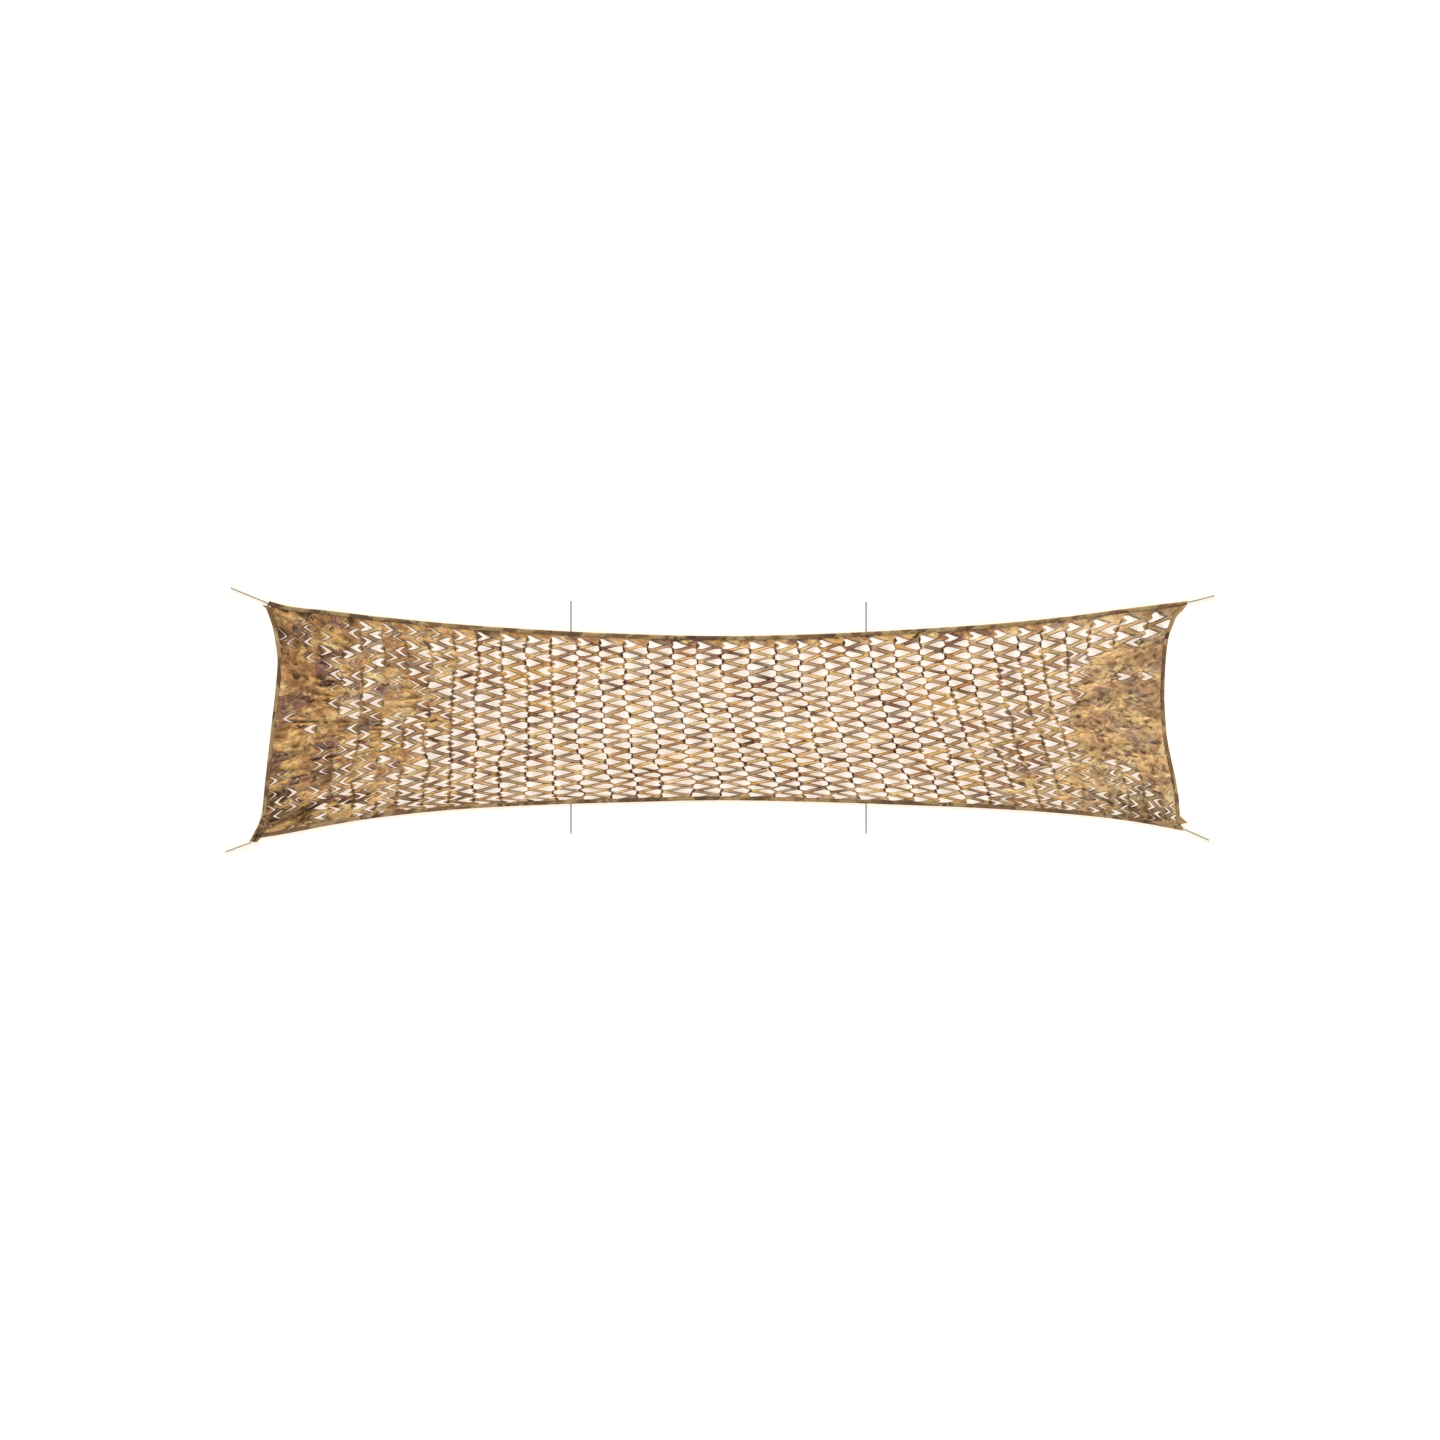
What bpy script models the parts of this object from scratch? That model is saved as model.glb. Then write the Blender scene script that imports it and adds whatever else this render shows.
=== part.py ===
"""Leaf-cut camouflage net, stretched flat by eight tie cords and lying on a surface.

Metres, +X along the net, +Y across it, +Z up. The origin is at the middle of the net without its
cords, on the surface that it lies on. The net is one cut panel with a tape folded over each edge.
"""

import math
from typing import NamedTuple

import bmesh
import bpy
from mathutils import Vector, geometry

# The net's own box, without its cords
HALF_LENGTH = 1.5355
HALF_WIDTH = 0.3950

# Cloth and tape
PANEL_THICK = 0.0012
TAPE_THICK = 0.0010
TAPE_WIDTH = 0.0135
GAP = 0.0003  # between pieces that touch
TAPE_HEIGHT = 2 * TAPE_THICK + 2 * GAP + PANEL_THICK
PANEL_INSET = TAPE_THICK + 0.0015  # from the tape's fold to the cloth's cut edge
EDGE_BOTTOM = TAPE_THICK + GAP  # height of the cloth's underside inside the tape
LEVEL_INSET = TAPE_WIDTH + 0.0015  # the cloth stays level to just inside the tape's lips

# Leaf cuts, at 1.7 times the real net's spacing. Lengths along a cut are in columns, heights in rows.
CUT_COLUMNS = 22
CUT_ROWS = 9
MOST_CUTS = 300
LEAST_OPEN = 0.34  # a cut that is less open than this lies shut and isn't made
CUT_LENGTH = 0.62  # at full opening
CUT_HALF_HEIGHT = 0.34  # at full opening
CUT_ROOT = 0.055  # from the seam to the gap's corners
LEAF_REACH = 0.12  # from the seam to the leaf's tip, at full opening
LEAF_REACH_SHUT = 0.32  # and in a cut that lies shut
FLANK_ALONG = 0.55  # where a gap starts to taper, as a share of its length
FLANK_HALF_HEIGHT = 0.62  # its half height there, as a share of the root's
LENGTH_SHUT = 0.75  # how much of its length and height a gap keeps as it shuts
HEIGHT_SHUT = 0.45
MARGIN_ROWS = 0.06  # uncut cloth along each long side, in rows
MARGIN_COLUMNS = 0.20  # and along each short side, in columns
SEAM_LEAN = 0.040  # how far the columns lean to the right on their way down
LEAF_LIFT = 0.0035  # of the leaf's tip above the net
CUT_CORNERS = 6
LEAF_CORNER = 3  # which corner of a cut is the leaf's tip
CUT_REACH = 0.12  # a cut's gap ends well within this distance of its corners

# Cords
CORD_DIAMETER = 0.005
CORD_HEIGHT = CORD_DIAMETER / 2 + 0.0002
CORD_POINTS = 10
CORD_BEVEL_RESOLUTION = 2

# Steps along the tapes, and the points that carry the folds of uncut cloth
LONG_TAPE_RINGS = 44
SHORT_TAPE_RINGS = 20
CROWDING = 0.75  # how much closer together the rings lie at a tape's ends
RELIEF_START = 1.0  # the cloth is uncut only farther than this from the middle
RELIEF_GRID = 0.042
RELIEF_CLEAR = 0.012  # the points' least distance to a cut or an edge
RELIEF_FADE = 0.035  # folds fade out this far from the tapes


class AlongStation(NamedTuple):
    """The outer edges of the long sides at one place along the net."""

    x: float
    top: float
    bottom: float


class AcrossStation(NamedTuple):
    """The outer edge of a short side at one height."""

    y: float
    x: float


class Patch(NamedTuple):
    """An oval where the cloth is bunched and its cuts lie shut."""

    x: float
    y: float
    half_length: float
    half_height: float


class Fold(NamedTuple):
    """A soft ridge from one point to another; a trough where its height is negative."""

    from_x: float
    from_y: float
    to_x: float
    to_y: float
    height: float
    width: float


class Cord(NamedTuple):
    """A tie cord from its root at the tape to its free end."""

    name: str
    root: tuple
    end: tuple


LONG_SIDES = [
    AlongStation(-1.560, 0.4250, -0.3885),
    AlongStation(-1.470, 0.3945, -0.3750),
    AlongStation(-1.400, 0.3768, -0.3630),
    AlongStation(-1.270, 0.3625, -0.3380),
    AlongStation(-1.120, 0.3445, -0.3140),
    AlongStation(-0.880, 0.3210, -0.2886),
    AlongStation(-0.585, 0.3005, -0.2722),
    AlongStation(-0.290, 0.2870, -0.2630),
    AlongStation(0.000, 0.2805, -0.2570),
    AlongStation(0.298, 0.2860, -0.2620),
    AlongStation(0.592, 0.3000, -0.2716),
    AlongStation(0.886, 0.3190, -0.2840),
    AlongStation(1.130, 0.3430, -0.3005),
    AlongStation(1.340, 0.3710, -0.3240),
    AlongStation(1.560, 0.3985, -0.3635),
]

LEFT_SIDE = [
    AcrossStation(-0.400, -1.5400),
    AcrossStation(-0.3605, -1.5183),
    AcrossStation(-0.3343, -1.5058),
    AcrossStation(-0.3020, -1.4955),
    AcrossStation(-0.2232, -1.4872),
    AcrossStation(-0.1251, -1.4764),
    AcrossStation(0.0057, -1.4617),
    AcrossStation(0.1038, -1.4506),
    AcrossStation(0.1987, -1.4437),
    AcrossStation(0.2608, -1.4506),
    AcrossStation(0.3164, -1.4617),
    AcrossStation(0.3752, -1.4827),
    AcrossStation(0.4200, -1.5010),
]

RIGHT_SIDE = [
    AcrossStation(-0.3700, 1.5130),
    AcrossStation(-0.2971, 1.5068),
    AcrossStation(-0.2395, 1.5022),
    AcrossStation(-0.1823, 1.4921),
    AcrossStation(-0.0597, 1.4666),
    AcrossStation(0.0548, 1.4574),
    AcrossStation(0.1365, 1.4574),
    AcrossStation(0.2111, 1.4620),
    AcrossStation(0.2801, 1.4712),
    AcrossStation(0.3121, 1.4829),
    AcrossStation(0.3442, 1.4967),
    AcrossStation(0.3671, 1.5185),
    AcrossStation(0.3960, 1.5385),
]

SHUT_PATCHES = [
    Patch(-1.470, 0.010, 0.270, 0.330),
    Patch(-1.440, 0.330, 0.120, 0.080),
    Patch(1.340, 0.000, 0.215, 0.235),
    Patch(1.480, -0.120, 0.110, 0.240),
]
PATCH_EDGE = 0.9  # how far past a patch, in its own half sizes, the cuts are fully open

FOLDS = [
    Fold(-1.440, 0.330, -1.180, 0.180, 0.0070, 0.022),
    Fold(-1.400, 0.230, -1.150, 0.090, 0.0055, 0.018),
    Fold(-1.410, 0.120, -1.190, 0.105, -0.0020, 0.018),
    Fold(-1.420, 0.050, -1.130, 0.010, 0.0075, 0.024),
    Fold(-1.430, -0.050, -1.200, -0.080, 0.0050, 0.018),
    Fold(-1.440, -0.150, -1.180, -0.150, 0.0065, 0.020),
    Fold(-1.450, -0.300, -1.170, -0.210, 0.0080, 0.022),
    Fold(1.430, 0.250, 1.180, 0.150, 0.0060, 0.022),
    Fold(1.420, 0.150, 1.150, 0.080, 0.0075, 0.020),
    Fold(1.430, 0.060, 1.160, 0.010, 0.0050, 0.018),
    Fold(1.440, -0.040, 1.130, -0.070, 0.0080, 0.024),
    Fold(1.460, -0.140, 1.190, -0.150, 0.0055, 0.020),
    Fold(1.480, -0.270, 1.200, -0.190, 0.0070, 0.022),
    Fold(-0.900, 0.150, 0.900, 0.100, 0.0020, 0.050),
    Fold(-0.900, -0.110, 0.900, -0.090, 0.0025, 0.050),
]

# Loose tape ends at the corners
TOP_LEFT_TIP = (-1.4700, 0.3945)
TOP_LEFT_NOTCH = (-1.4775, 0.3800)
LEFT_TAPE_TAIL = (-1.4945, 0.3808)
LEFT_TAPE_TOP = (-1.4705, 0.3785)
LEFT_TAIL_LENGTH = 0.007
TOP_RIGHT_TIP = (HALF_LENGTH, HALF_WIDTH)
TONGUE_START = -0.3300  # below this height the left tape widens into its gathered tongue
TONGUE_NECK = (-1.4990, -0.3800)  # where the tongue leaves the bottom tape
TONGUE_OUTER = (-HALF_LENGTH, -0.3910)
TONGUE_INNER = (-1.5124, -HALF_WIDTH)
BOTTOM_RIGHT_OUTER = (1.5205, -0.3558)
BOTTOM_RIGHT_INNER = (1.5170, -0.3430)
RIGHT_TAPE_TAIL = (1.5330, -0.3310)
RIGHT_TAIL_START = -0.3080
RIGHT_TAIL_DROP = 0.003  # from the tail's tip to where its lower side meets the tape again
RIGHT_TAIL_INNER = (-0.3250, -0.3300)  # heights of the tape's lip beside the tail

CORDS = [
    Cord("cord_top_left", (-1.4744, 0.3875), (-1.5961, 0.4374)),
    Cord("cord_bottom_left", (-1.5300, -0.3946), (-1.6140, -0.4255)),
    Cord("cord_top_right", (1.5357, 0.3910), (1.6205, 0.4120)),
    Cord("cord_bottom_right", (1.5212, -0.3510), (1.6023, -0.3875)),
    Cord("cord_top_mid_left", (-0.484, None), (-0.484, 0.3945)),
    Cord("cord_top_mid_right", (0.481, None), (0.481, 0.3925)),
    Cord("cord_bottom_mid_left", (-0.484, None), (-0.484, -0.3655)),
    Cord("cord_bottom_mid_right", (0.481, None), (0.481, -0.3655)),
]


def smooth_value(points, at):
    """The value at one place of a smooth curve through (place, value) points in rising order."""
    last = len(points) - 2
    i = next((k for k in range(last + 1) if at < points[k + 1][0]), last)
    (x0, y0), (x1, y1) = points[i], points[i + 1]
    before = points[max(i - 1, 0)]
    after = points[min(i + 2, len(points) - 1)]
    slope0 = (y1 - before[1]) / (x1 - before[0])
    slope1 = (after[1] - y0) / (after[0] - x0)
    span = x1 - x0
    t = (at - x0) / span
    return (
        (2 * t**3 - 3 * t**2 + 1) * y0
        + (t**3 - 2 * t**2 + t) * span * slope0
        + (3 * t**2 - 2 * t**3) * y1
        + (t**3 - t**2) * span * slope1
    )


def top_edge(x):
    return smooth_value([(s.x, s.top) for s in LONG_SIDES], x)


def bottom_edge(x):
    return smooth_value([(s.x, s.bottom) for s in LONG_SIDES], x)


def left_edge(y):
    return smooth_value([(s.y, s.x) for s in LEFT_SIDE], y)


def right_edge(y):
    return smooth_value([(s.y, s.x) for s in RIGHT_SIDE], y)


def inner_offset(edge, at, distance):
    """How far inward, along the other axis, a line parallel to this edge lies at one place."""
    step = 0.002
    slope = (edge(at + step) - edge(at - step)) / (2 * step)
    return distance * math.sqrt(1 + slope * slope)


def top_line(x, inset):
    return top_edge(x) - inner_offset(top_edge, x, inset)


def bottom_line(x, inset):
    return bottom_edge(x) + inner_offset(bottom_edge, x, inset)


def left_line(y, inset):
    return left_edge(y) + inner_offset(left_edge, y, inset)


def right_line(y, inset):
    return right_edge(y) - inner_offset(right_edge, y, inset)


def meeting(long_line, long_inset, short_line, short_inset):
    """Where a line along a long side crosses a line along a short side."""
    y = 0.0
    for _ in range(12):
        x = short_line(y, short_inset)
        y = long_line(x, long_inset)
    return x, y


def evenly(start, end, count):
    return [start + (end - start) * k / (count - 1) for k in range(count)]


def crowded(start, end, count):
    """Places from start to end that lie closer together towards both ends."""
    return [
        start + (end - start) * (t - CROWDING * math.sin(2 * math.pi * t) / (2 * math.pi))
        for t in evenly(0.0, 1.0, count)
    ]


def new_material(name, colour, roughness):
    material = bpy.data.materials.new(name)
    material.use_nodes = True
    shader = material.node_tree.nodes["Principled BSDF"]
    shader.inputs["Base Color"].default_value = (*colour, 1.0)
    shader.inputs["Roughness"].default_value = roughness
    shader.inputs["Metallic"].default_value = 0.0
    return material


def add_object(name, mesh, material):
    mesh.materials.append(material)
    obj = bpy.data.objects.new(name, mesh)
    bpy.context.collection.objects.link(obj)
    return obj


def folded_tape(name, outer, inner, material):
    """A tape folded over an edge, open inward. outer and inner are (x, y) pairs, ring by ring."""
    slot_top = TAPE_HEIGHT - TAPE_THICK
    bm = bmesh.new()
    rings = []
    for fold, lip in zip(outer, inner, strict=True):
        fold, lip = Vector(fold), Vector(lip)
        slot = fold + (lip - fold) * (TAPE_THICK / (lip - fold).length)
        profile = [
            (fold, 0.0),
            (lip, 0.0),
            (lip, TAPE_THICK),
            (slot, TAPE_THICK),
            (slot, slot_top),
            (lip, slot_top),
            (lip, TAPE_HEIGHT),
            (fold, TAPE_HEIGHT),
        ]
        rings.append([bm.verts.new((p.x, p.y, z)) for p, z in profile])
    for near, far in zip(rings, rings[1:]):
        for k in range(len(near)):
            following = (k + 1) % len(near)
            bm.faces.new((near[k], near[following], far[following], far[k]))
    for ring in (rings[0], rings[-1]):
        # The end of a folded tape is three flat strips: below, at the fold and above.
        a, b, c, d, e, f, g, h = ring
        for corners in ((a, b, c, d), (a, d, e, h), (e, f, g, h)):
            bm.faces.new(corners)
    bmesh.ops.recalc_face_normals(bm, faces=bm.faces)
    mesh = bpy.data.meshes.new(name)
    bm.to_mesh(mesh)
    bm.free()
    return add_object(name, mesh, material)


def long_tape(name, line, left_end, right_end, material):
    """A tape along a long side. Each end is its (outer, inner) pair of points."""
    left_outer, left_inner = left_end
    right_outer, right_inner = right_end
    shares = crowded(0.0, 1.0, LONG_TAPE_RINGS)
    outer_x = [left_outer[0] + (right_outer[0] - left_outer[0]) * t for t in shares]
    inner_x = [left_inner[0] + (right_inner[0] - left_inner[0]) * t for t in shares]
    outer = [(x, line(x, 0.0)) for x in outer_x]
    inner = [(x, line(x, TAPE_WIDTH)) for x in inner_x]
    outer[0], outer[-1] = left_outer, right_outer
    inner[0], inner[-1] = left_inner, right_inner
    return folded_tape(name, outer, inner, material)


def top_binding(material):
    """Runs out to both upper corners."""
    left = (TOP_LEFT_TIP, TOP_LEFT_NOTCH)
    right = (TOP_RIGHT_TIP, meeting(top_line, TAPE_WIDTH, right_line, 0.0))
    return long_tape("binding_top", top_line, left, right, material)


def bottom_binding(material):
    """Butts against the left tape's tongue and runs out at the bottom right corner."""
    left = (
        meeting(bottom_line, 0.0, left_tape_line, GAP),
        meeting(bottom_line, TAPE_WIDTH, left_tape_line, GAP),
    )
    right = (BOTTOM_RIGHT_OUTER, BOTTOM_RIGHT_INNER)
    return long_tape("binding_bottom", bottom_line, left, right, material)


def left_tape_line(y, inset):
    """The left tape's inner edge, moved inward by the inset; it widens into the tongue."""
    if y >= TONGUE_START:
        return left_line(y, TAPE_WIDTH) + inset
    start = left_line(TONGUE_START, TAPE_WIDTH)
    share = (TONGUE_START - y) / (TONGUE_START - TONGUE_NECK[1])
    return start + (TONGUE_NECK[0] - start) * share + inset


def left_binding(material):
    """Runs from under the top tape down to the gathered tongue below the net."""
    outer, inner = [LEFT_TAPE_TAIL], [LEFT_TAPE_TOP]
    top_y = LEFT_TAPE_TOP[1] - LEFT_TAIL_LENGTH
    for y in crowded(top_y, TONGUE_NECK[1], SHORT_TAPE_RINGS):
        outer.append((left_edge(y), y))
        inner.append((left_tape_line(y, 0.0), y))
    outer.append(TONGUE_OUTER)
    inner.append(TONGUE_INNER)
    return folded_tape("binding_left", outer, inner, material)


def right_binding(material):
    """Runs from under the top tape to the bottom tape, where its tail sticks out."""
    top_outer = meeting(top_line, TAPE_WIDTH + GAP, right_line, 0.0)
    top_inner = meeting(top_line, TAPE_WIDTH + GAP, right_line, TAPE_WIDTH)
    low_outer = meeting(bottom_line, TAPE_WIDTH + GAP, right_line, 0.0)
    low_inner = meeting(bottom_line, TAPE_WIDTH + GAP, right_line, TAPE_WIDTH)
    outer, inner = [], []
    for share in crowded(0.0, 1.0, SHORT_TAPE_RINGS):
        y_outer = top_outer[1] + (RIGHT_TAIL_START - top_outer[1]) * share
        y_inner = top_inner[1] + (RIGHT_TAIL_START - top_inner[1]) * share
        outer.append((right_line(y_outer, 0.0), y_outer))
        inner.append((right_line(y_inner, TAPE_WIDTH), y_inner))
    below_tail = (low_outer[0], RIGHT_TAPE_TAIL[1] - RIGHT_TAIL_DROP)
    outer += [RIGHT_TAPE_TAIL, below_tail, low_outer]
    inner += [(right_line(y, TAPE_WIDTH), y) for y in RIGHT_TAIL_INNER]
    inner.append(low_inner)
    return folded_tape("binding_right", outer, inner, material)


def cloth_loop(inset):
    """A line round the cloth at one distance from the tapes' folds, anticlockwise."""
    top_left_x = TOP_LEFT_TIP[0] + inset
    top_left_y = TOP_LEFT_NOTCH[1] - TAPE_WIDTH / 2 - inset
    top_right = meeting(top_line, inset, right_line, inset)
    bottom_right = meeting(bottom_line, inset, right_line, inset)
    bottom_left_x = left_line(TONGUE_START, inset)
    bottom = [
        (x, bottom_line(x, inset))
        for x in crowded(bottom_left_x, bottom_right[0], LONG_TAPE_RINGS)
    ]
    right = [
        (right_line(y, inset), y)
        for y in crowded(bottom_right[1], top_right[1], SHORT_TAPE_RINGS)
    ]
    top = [
        (x, top_line(x, inset))
        for x in crowded(top_right[0], top_left_x, LONG_TAPE_RINGS)
    ]
    left = [
        (left_line(y, inset), y)
        for y in crowded(top_left_y, TONGUE_START, SHORT_TAPE_RINGS)
    ]
    return bottom[:-1] + right[:-1] + top + left


def on_net(column, row):
    """The place of a point that is given in columns from the left and rows from the bottom."""
    along = (column + MARGIN_COLUMNS) / (CUT_COLUMNS + 2 * MARGIN_COLUMNS)
    up = (row + MARGIN_ROWS) / (CUT_ROWS + 2 * MARGIN_ROWS)
    y = bottom_edge(0.0) + (top_edge(0.0) - bottom_edge(0.0)) * up
    lean = SEAM_LEAN * math.sin(math.pi * along) * (1 - 2 * up) / 2
    for _ in range(2):
        low, high = left_line(y, TAPE_WIDTH), right_line(y, TAPE_WIDTH)
        x = low + (high - low) * along + lean
        y = bottom_line(x, TAPE_WIDTH) * (1 - up) + top_line(x, TAPE_WIDTH) * up
    return x, y


def openness(x, y):
    """How far the cuts are pulled open, from 0 in a bunched patch to 1."""
    least = 1.0
    for patch in SHUT_PATCHES:
        away = math.hypot(
            (x - patch.x) / patch.half_length, (y - patch.y) / patch.half_height
        )
        least = min(least, max(0.0, (away - 1.0) / PATCH_EDGE))
    return least


def cut_outline(seam, row, points_right):
    """The dart-shaped gap that one leaf cut opens into, or None where it lies shut."""
    side = 1.0 if points_right else -1.0
    amount = openness(*on_net(seam + side * CUT_LENGTH / 2, row))
    if amount < LEAST_OPEN:
        return None
    length = CUT_LENGTH * (LENGTH_SHUT + (1 - LENGTH_SHUT) * amount)
    half = CUT_HALF_HEIGHT * (HEIGHT_SHUT + (1 - HEIGHT_SHUT) * amount)
    flank, flank_half = FLANK_ALONG * length, FLANK_HALF_HEIGHT * half
    leaf = LEAF_REACH_SHUT + (LEAF_REACH - LEAF_REACH_SHUT) * amount
    shape = [
        (length, 0.0),
        (flank, flank_half),
        (CUT_ROOT, half),
        (leaf, 0.0),
        (CUT_ROOT, -half),
        (flank, -flank_half),
    ]
    return [on_net(seam + side * a, row + b) for a, b in shape]


def all_cuts():
    """Each column has gaps that point right from its left seam and left from its right seam."""
    cuts = []
    for column in range(CUT_COLUMNS):
        for row in range(CUT_ROWS):
            cuts.append(cut_outline(column, row + 0.5, True))
            if row:
                cuts.append(cut_outline(column + 1, row, False))
    return [cut for cut in cuts if cut]


def inside(point, polygon):
    """Whether a point is inside a polygon."""
    x, y = point
    found = False
    for (x0, y0), (x1, y1) in zip(polygon, polygon[1:] + polygon[:1]):
        if (y0 > y) != (y1 > y) and x < x0 + (x1 - x0) * (y - y0) / (y1 - y0):
            found = not found
    return found


def distance_to(point, polygon):
    """The distance from a point to a polygon's outline."""
    p = Vector(point)
    least = math.inf
    for start, end in zip(polygon, polygon[1:] + polygon[:1]):
        near, share = geometry.intersect_point_line(p, Vector(start), Vector(end))
        share = min(1.0, max(0.0, share))
        near = Vector(start).lerp(Vector(end), share)
        least = min(least, (p - near).length)
    return least


def in_a_cut(point, cuts, clear):
    """Whether a point lies in a cut's gap, or within the clear distance of one."""
    for cut in cuts:
        if math.dist(cut[0], point) > CUT_REACH:
            continue
        if inside(point, cut) or (clear and distance_to(point, cut) < clear):
            return True
    return False


def relief_points(outline, cuts):
    """Points on a grid over the uncut cloth at both ends, for its folds."""
    found = []
    for i in range(round(2 * HALF_LENGTH / RELIEF_GRID) + 1):
        for j in range(round(2 * HALF_WIDTH / RELIEF_GRID) + 1):
            x = -HALF_LENGTH + RELIEF_GRID * (i + 0.5 * (j % 2))
            y = -HALF_WIDTH + RELIEF_GRID * j
            if abs(x) < RELIEF_START or not inside((x, y), outline):
                continue
            if distance_to((x, y), outline) < RELIEF_CLEAR:
                continue
            if not in_a_cut((x, y), cuts, RELIEF_CLEAR):
                found.append((x, y))
    return found


def fold_height(x, y):
    """The height of the cloth's folds at one place."""
    total = 0.0
    for fold in FOLDS:
        start = Vector((fold.from_x, fold.from_y))
        end = Vector((fold.to_x, fold.to_y))
        _, share = geometry.intersect_point_line(Vector((x, y)), start, end)
        near = start.lerp(end, min(1.0, max(0.0, share)))
        away = (Vector((x, y)) - near).length / fold.width
        total += fold.height * math.exp(-away * away)
    return total


def underside_height(point, level_line, lift):
    """The cloth is held level at the tapes; from there it sinks to the surface, with its folds."""
    if not inside(point, level_line):
        return EDGE_BOTTOM
    fade = min(1.0, distance_to(point, level_line) / RELIEF_FADE)
    fade = fade * fade * (3 - 2 * fade)
    return max(0.0, EDGE_BOTTOM + fade * (fold_height(*point) + lift - EDGE_BOTTOM))


def thick_sheet(flat, heights, triangles):
    """A closed sheet over a flat triangulation, with walls along every open edge."""
    bm = bmesh.new()
    lows = [bm.verts.new((p.x, p.y, z)) for p, z in zip(flat, heights, strict=True)]
    highs = [bm.verts.new(vert.co + Vector((0, 0, PANEL_THICK))) for vert in lows]
    open_edges = set()
    for a, b, c in triangles:
        bm.faces.new((highs[a], highs[b], highs[c]))
        bm.faces.new((lows[c], lows[b], lows[a]))
        for start, end in ((a, b), (b, c), (c, a)):
            if (end, start) in open_edges:
                open_edges.remove((end, start))
            else:
                open_edges.add((start, end))
    for start, end in sorted(open_edges):
        bm.faces.new((lows[start], lows[end], highs[end], highs[start]))
    loose = [vert for vert in bm.verts if not vert.link_faces]
    bmesh.ops.delete(bm, geom=loose, context="VERTS")
    bmesh.ops.recalc_face_normals(bm, faces=bm.faces)
    return bm


def build_panel(material):
    outline = cloth_loop(PANEL_INSET)
    level_line = cloth_loop(LEVEL_INSET)
    cuts = all_cuts()
    if len(cuts) > MOST_CUTS:
        raise ValueError(f"{len(cuts)} cuts, over {MOST_CUTS}")
    points, edges, leaf_tips = [], [], set()
    for loop in (outline, level_line, *cuts):
        first = len(points)
        if len(loop) == CUT_CORNERS:
            leaf_tips.add(first + LEAF_CORNER)
        points += loop
        edges += [(first + k, first + (k + 1) % len(loop)) for k in range(len(loop))]
    points += relief_points(level_line, cuts)
    flat, _, triangles, _, _, _ = geometry.delaunay_2d_cdt(
        [Vector(p) for p in points], edges, [], 1, 1e-7
    )
    kept = []
    for triangle in triangles:
        middle = sum((flat[k] for k in triangle), Vector((0, 0))) / 3
        if not in_a_cut(middle, cuts, 0.0):
            kept.append(triangle)
    heights = [
        underside_height(point, level_line, LEAF_LIFT if k in leaf_tips else 0.0)
        for k, point in enumerate(flat)
    ]
    bm = thick_sheet(flat, heights, kept)
    mesh = bpy.data.meshes.new("net_panel")
    bm.to_mesh(mesh)
    bm.free()
    return add_object("net_panel", mesh, material)


def cord_route(cord):
    """The cord's straight run, from just clear of the tape to its free end."""
    x, y = cord.root
    if y is None:
        above = cord.end[1] > 0
        y = top_edge(x) + 2 * GAP if above else bottom_edge(x) - 2 * GAP
    shares = evenly(0.0, 1.0, CORD_POINTS)
    return [
        (x + (cord.end[0] - x) * t, y + (cord.end[1] - y) * t, CORD_HEIGHT)
        for t in shares
    ]


def build_cord(cord, material):
    curve = bpy.data.curves.new(cord.name, "CURVE")
    curve.dimensions = "3D"
    curve.bevel_depth = CORD_DIAMETER / 2
    curve.bevel_resolution = CORD_BEVEL_RESOLUTION
    curve.use_fill_caps = True
    route = cord_route(cord)
    spline = curve.splines.new("POLY")
    spline.points.add(len(route) - 1)
    for point, place in zip(spline.points, route):
        point.co = (*place, 1.0)
    return add_object(cord.name, curve, material)


def main():
    for obj in list(bpy.data.objects):
        bpy.data.objects.remove(obj, do_unlink=True)
    cloth = new_material("camouflage cloth", (0.38, 0.22, 0.10), 0.85)
    tape = new_material("folded tape", (0.27, 0.18, 0.09), 0.85)
    cord_yarn = new_material("cord yarn", (0.42, 0.36, 0.28), 0.8)
    build_panel(cloth)
    top_binding(tape)
    bottom_binding(tape)
    left_binding(tape)
    right_binding(tape)
    for cord in CORDS:
        build_cord(cord, cord_yarn)


main()
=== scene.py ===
"""Looks of the leaf-cut camouflage net that lies stretched on the floor, seen from straight above.

Metres, +X along the net, +Y across it, +Z up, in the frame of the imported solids. The cloth is one
mesh: Geometry Nodes repeat a single cell of the cut pattern, and its points are then moved to where
the stretched net has them. A point of the pattern is given as (u, v), in cut columns from the left
and in cut rows from the bottom.
"""

import math

import bpy
import numpy as np
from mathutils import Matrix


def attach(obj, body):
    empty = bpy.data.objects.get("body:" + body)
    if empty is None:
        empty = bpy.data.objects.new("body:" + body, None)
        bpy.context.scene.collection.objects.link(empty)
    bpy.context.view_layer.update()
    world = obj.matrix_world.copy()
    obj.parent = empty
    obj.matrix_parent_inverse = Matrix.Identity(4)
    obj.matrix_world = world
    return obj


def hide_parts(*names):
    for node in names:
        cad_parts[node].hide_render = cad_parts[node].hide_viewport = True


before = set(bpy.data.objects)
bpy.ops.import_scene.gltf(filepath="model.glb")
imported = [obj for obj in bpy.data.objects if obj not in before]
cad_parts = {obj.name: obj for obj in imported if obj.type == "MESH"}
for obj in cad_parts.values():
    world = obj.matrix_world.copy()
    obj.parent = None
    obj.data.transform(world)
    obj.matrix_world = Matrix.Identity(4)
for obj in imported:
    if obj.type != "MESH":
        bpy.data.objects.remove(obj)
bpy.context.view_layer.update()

# The picture
CAMERA_PLACE = (0.0033, 0.0057, 11.12)
CAMERA_LENS = 85.0
SENSOR_WIDTH = 36.0
AMBIENT = 0.22  # strength of the white light from all around
FLOOR_HALF = 12.0
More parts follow.
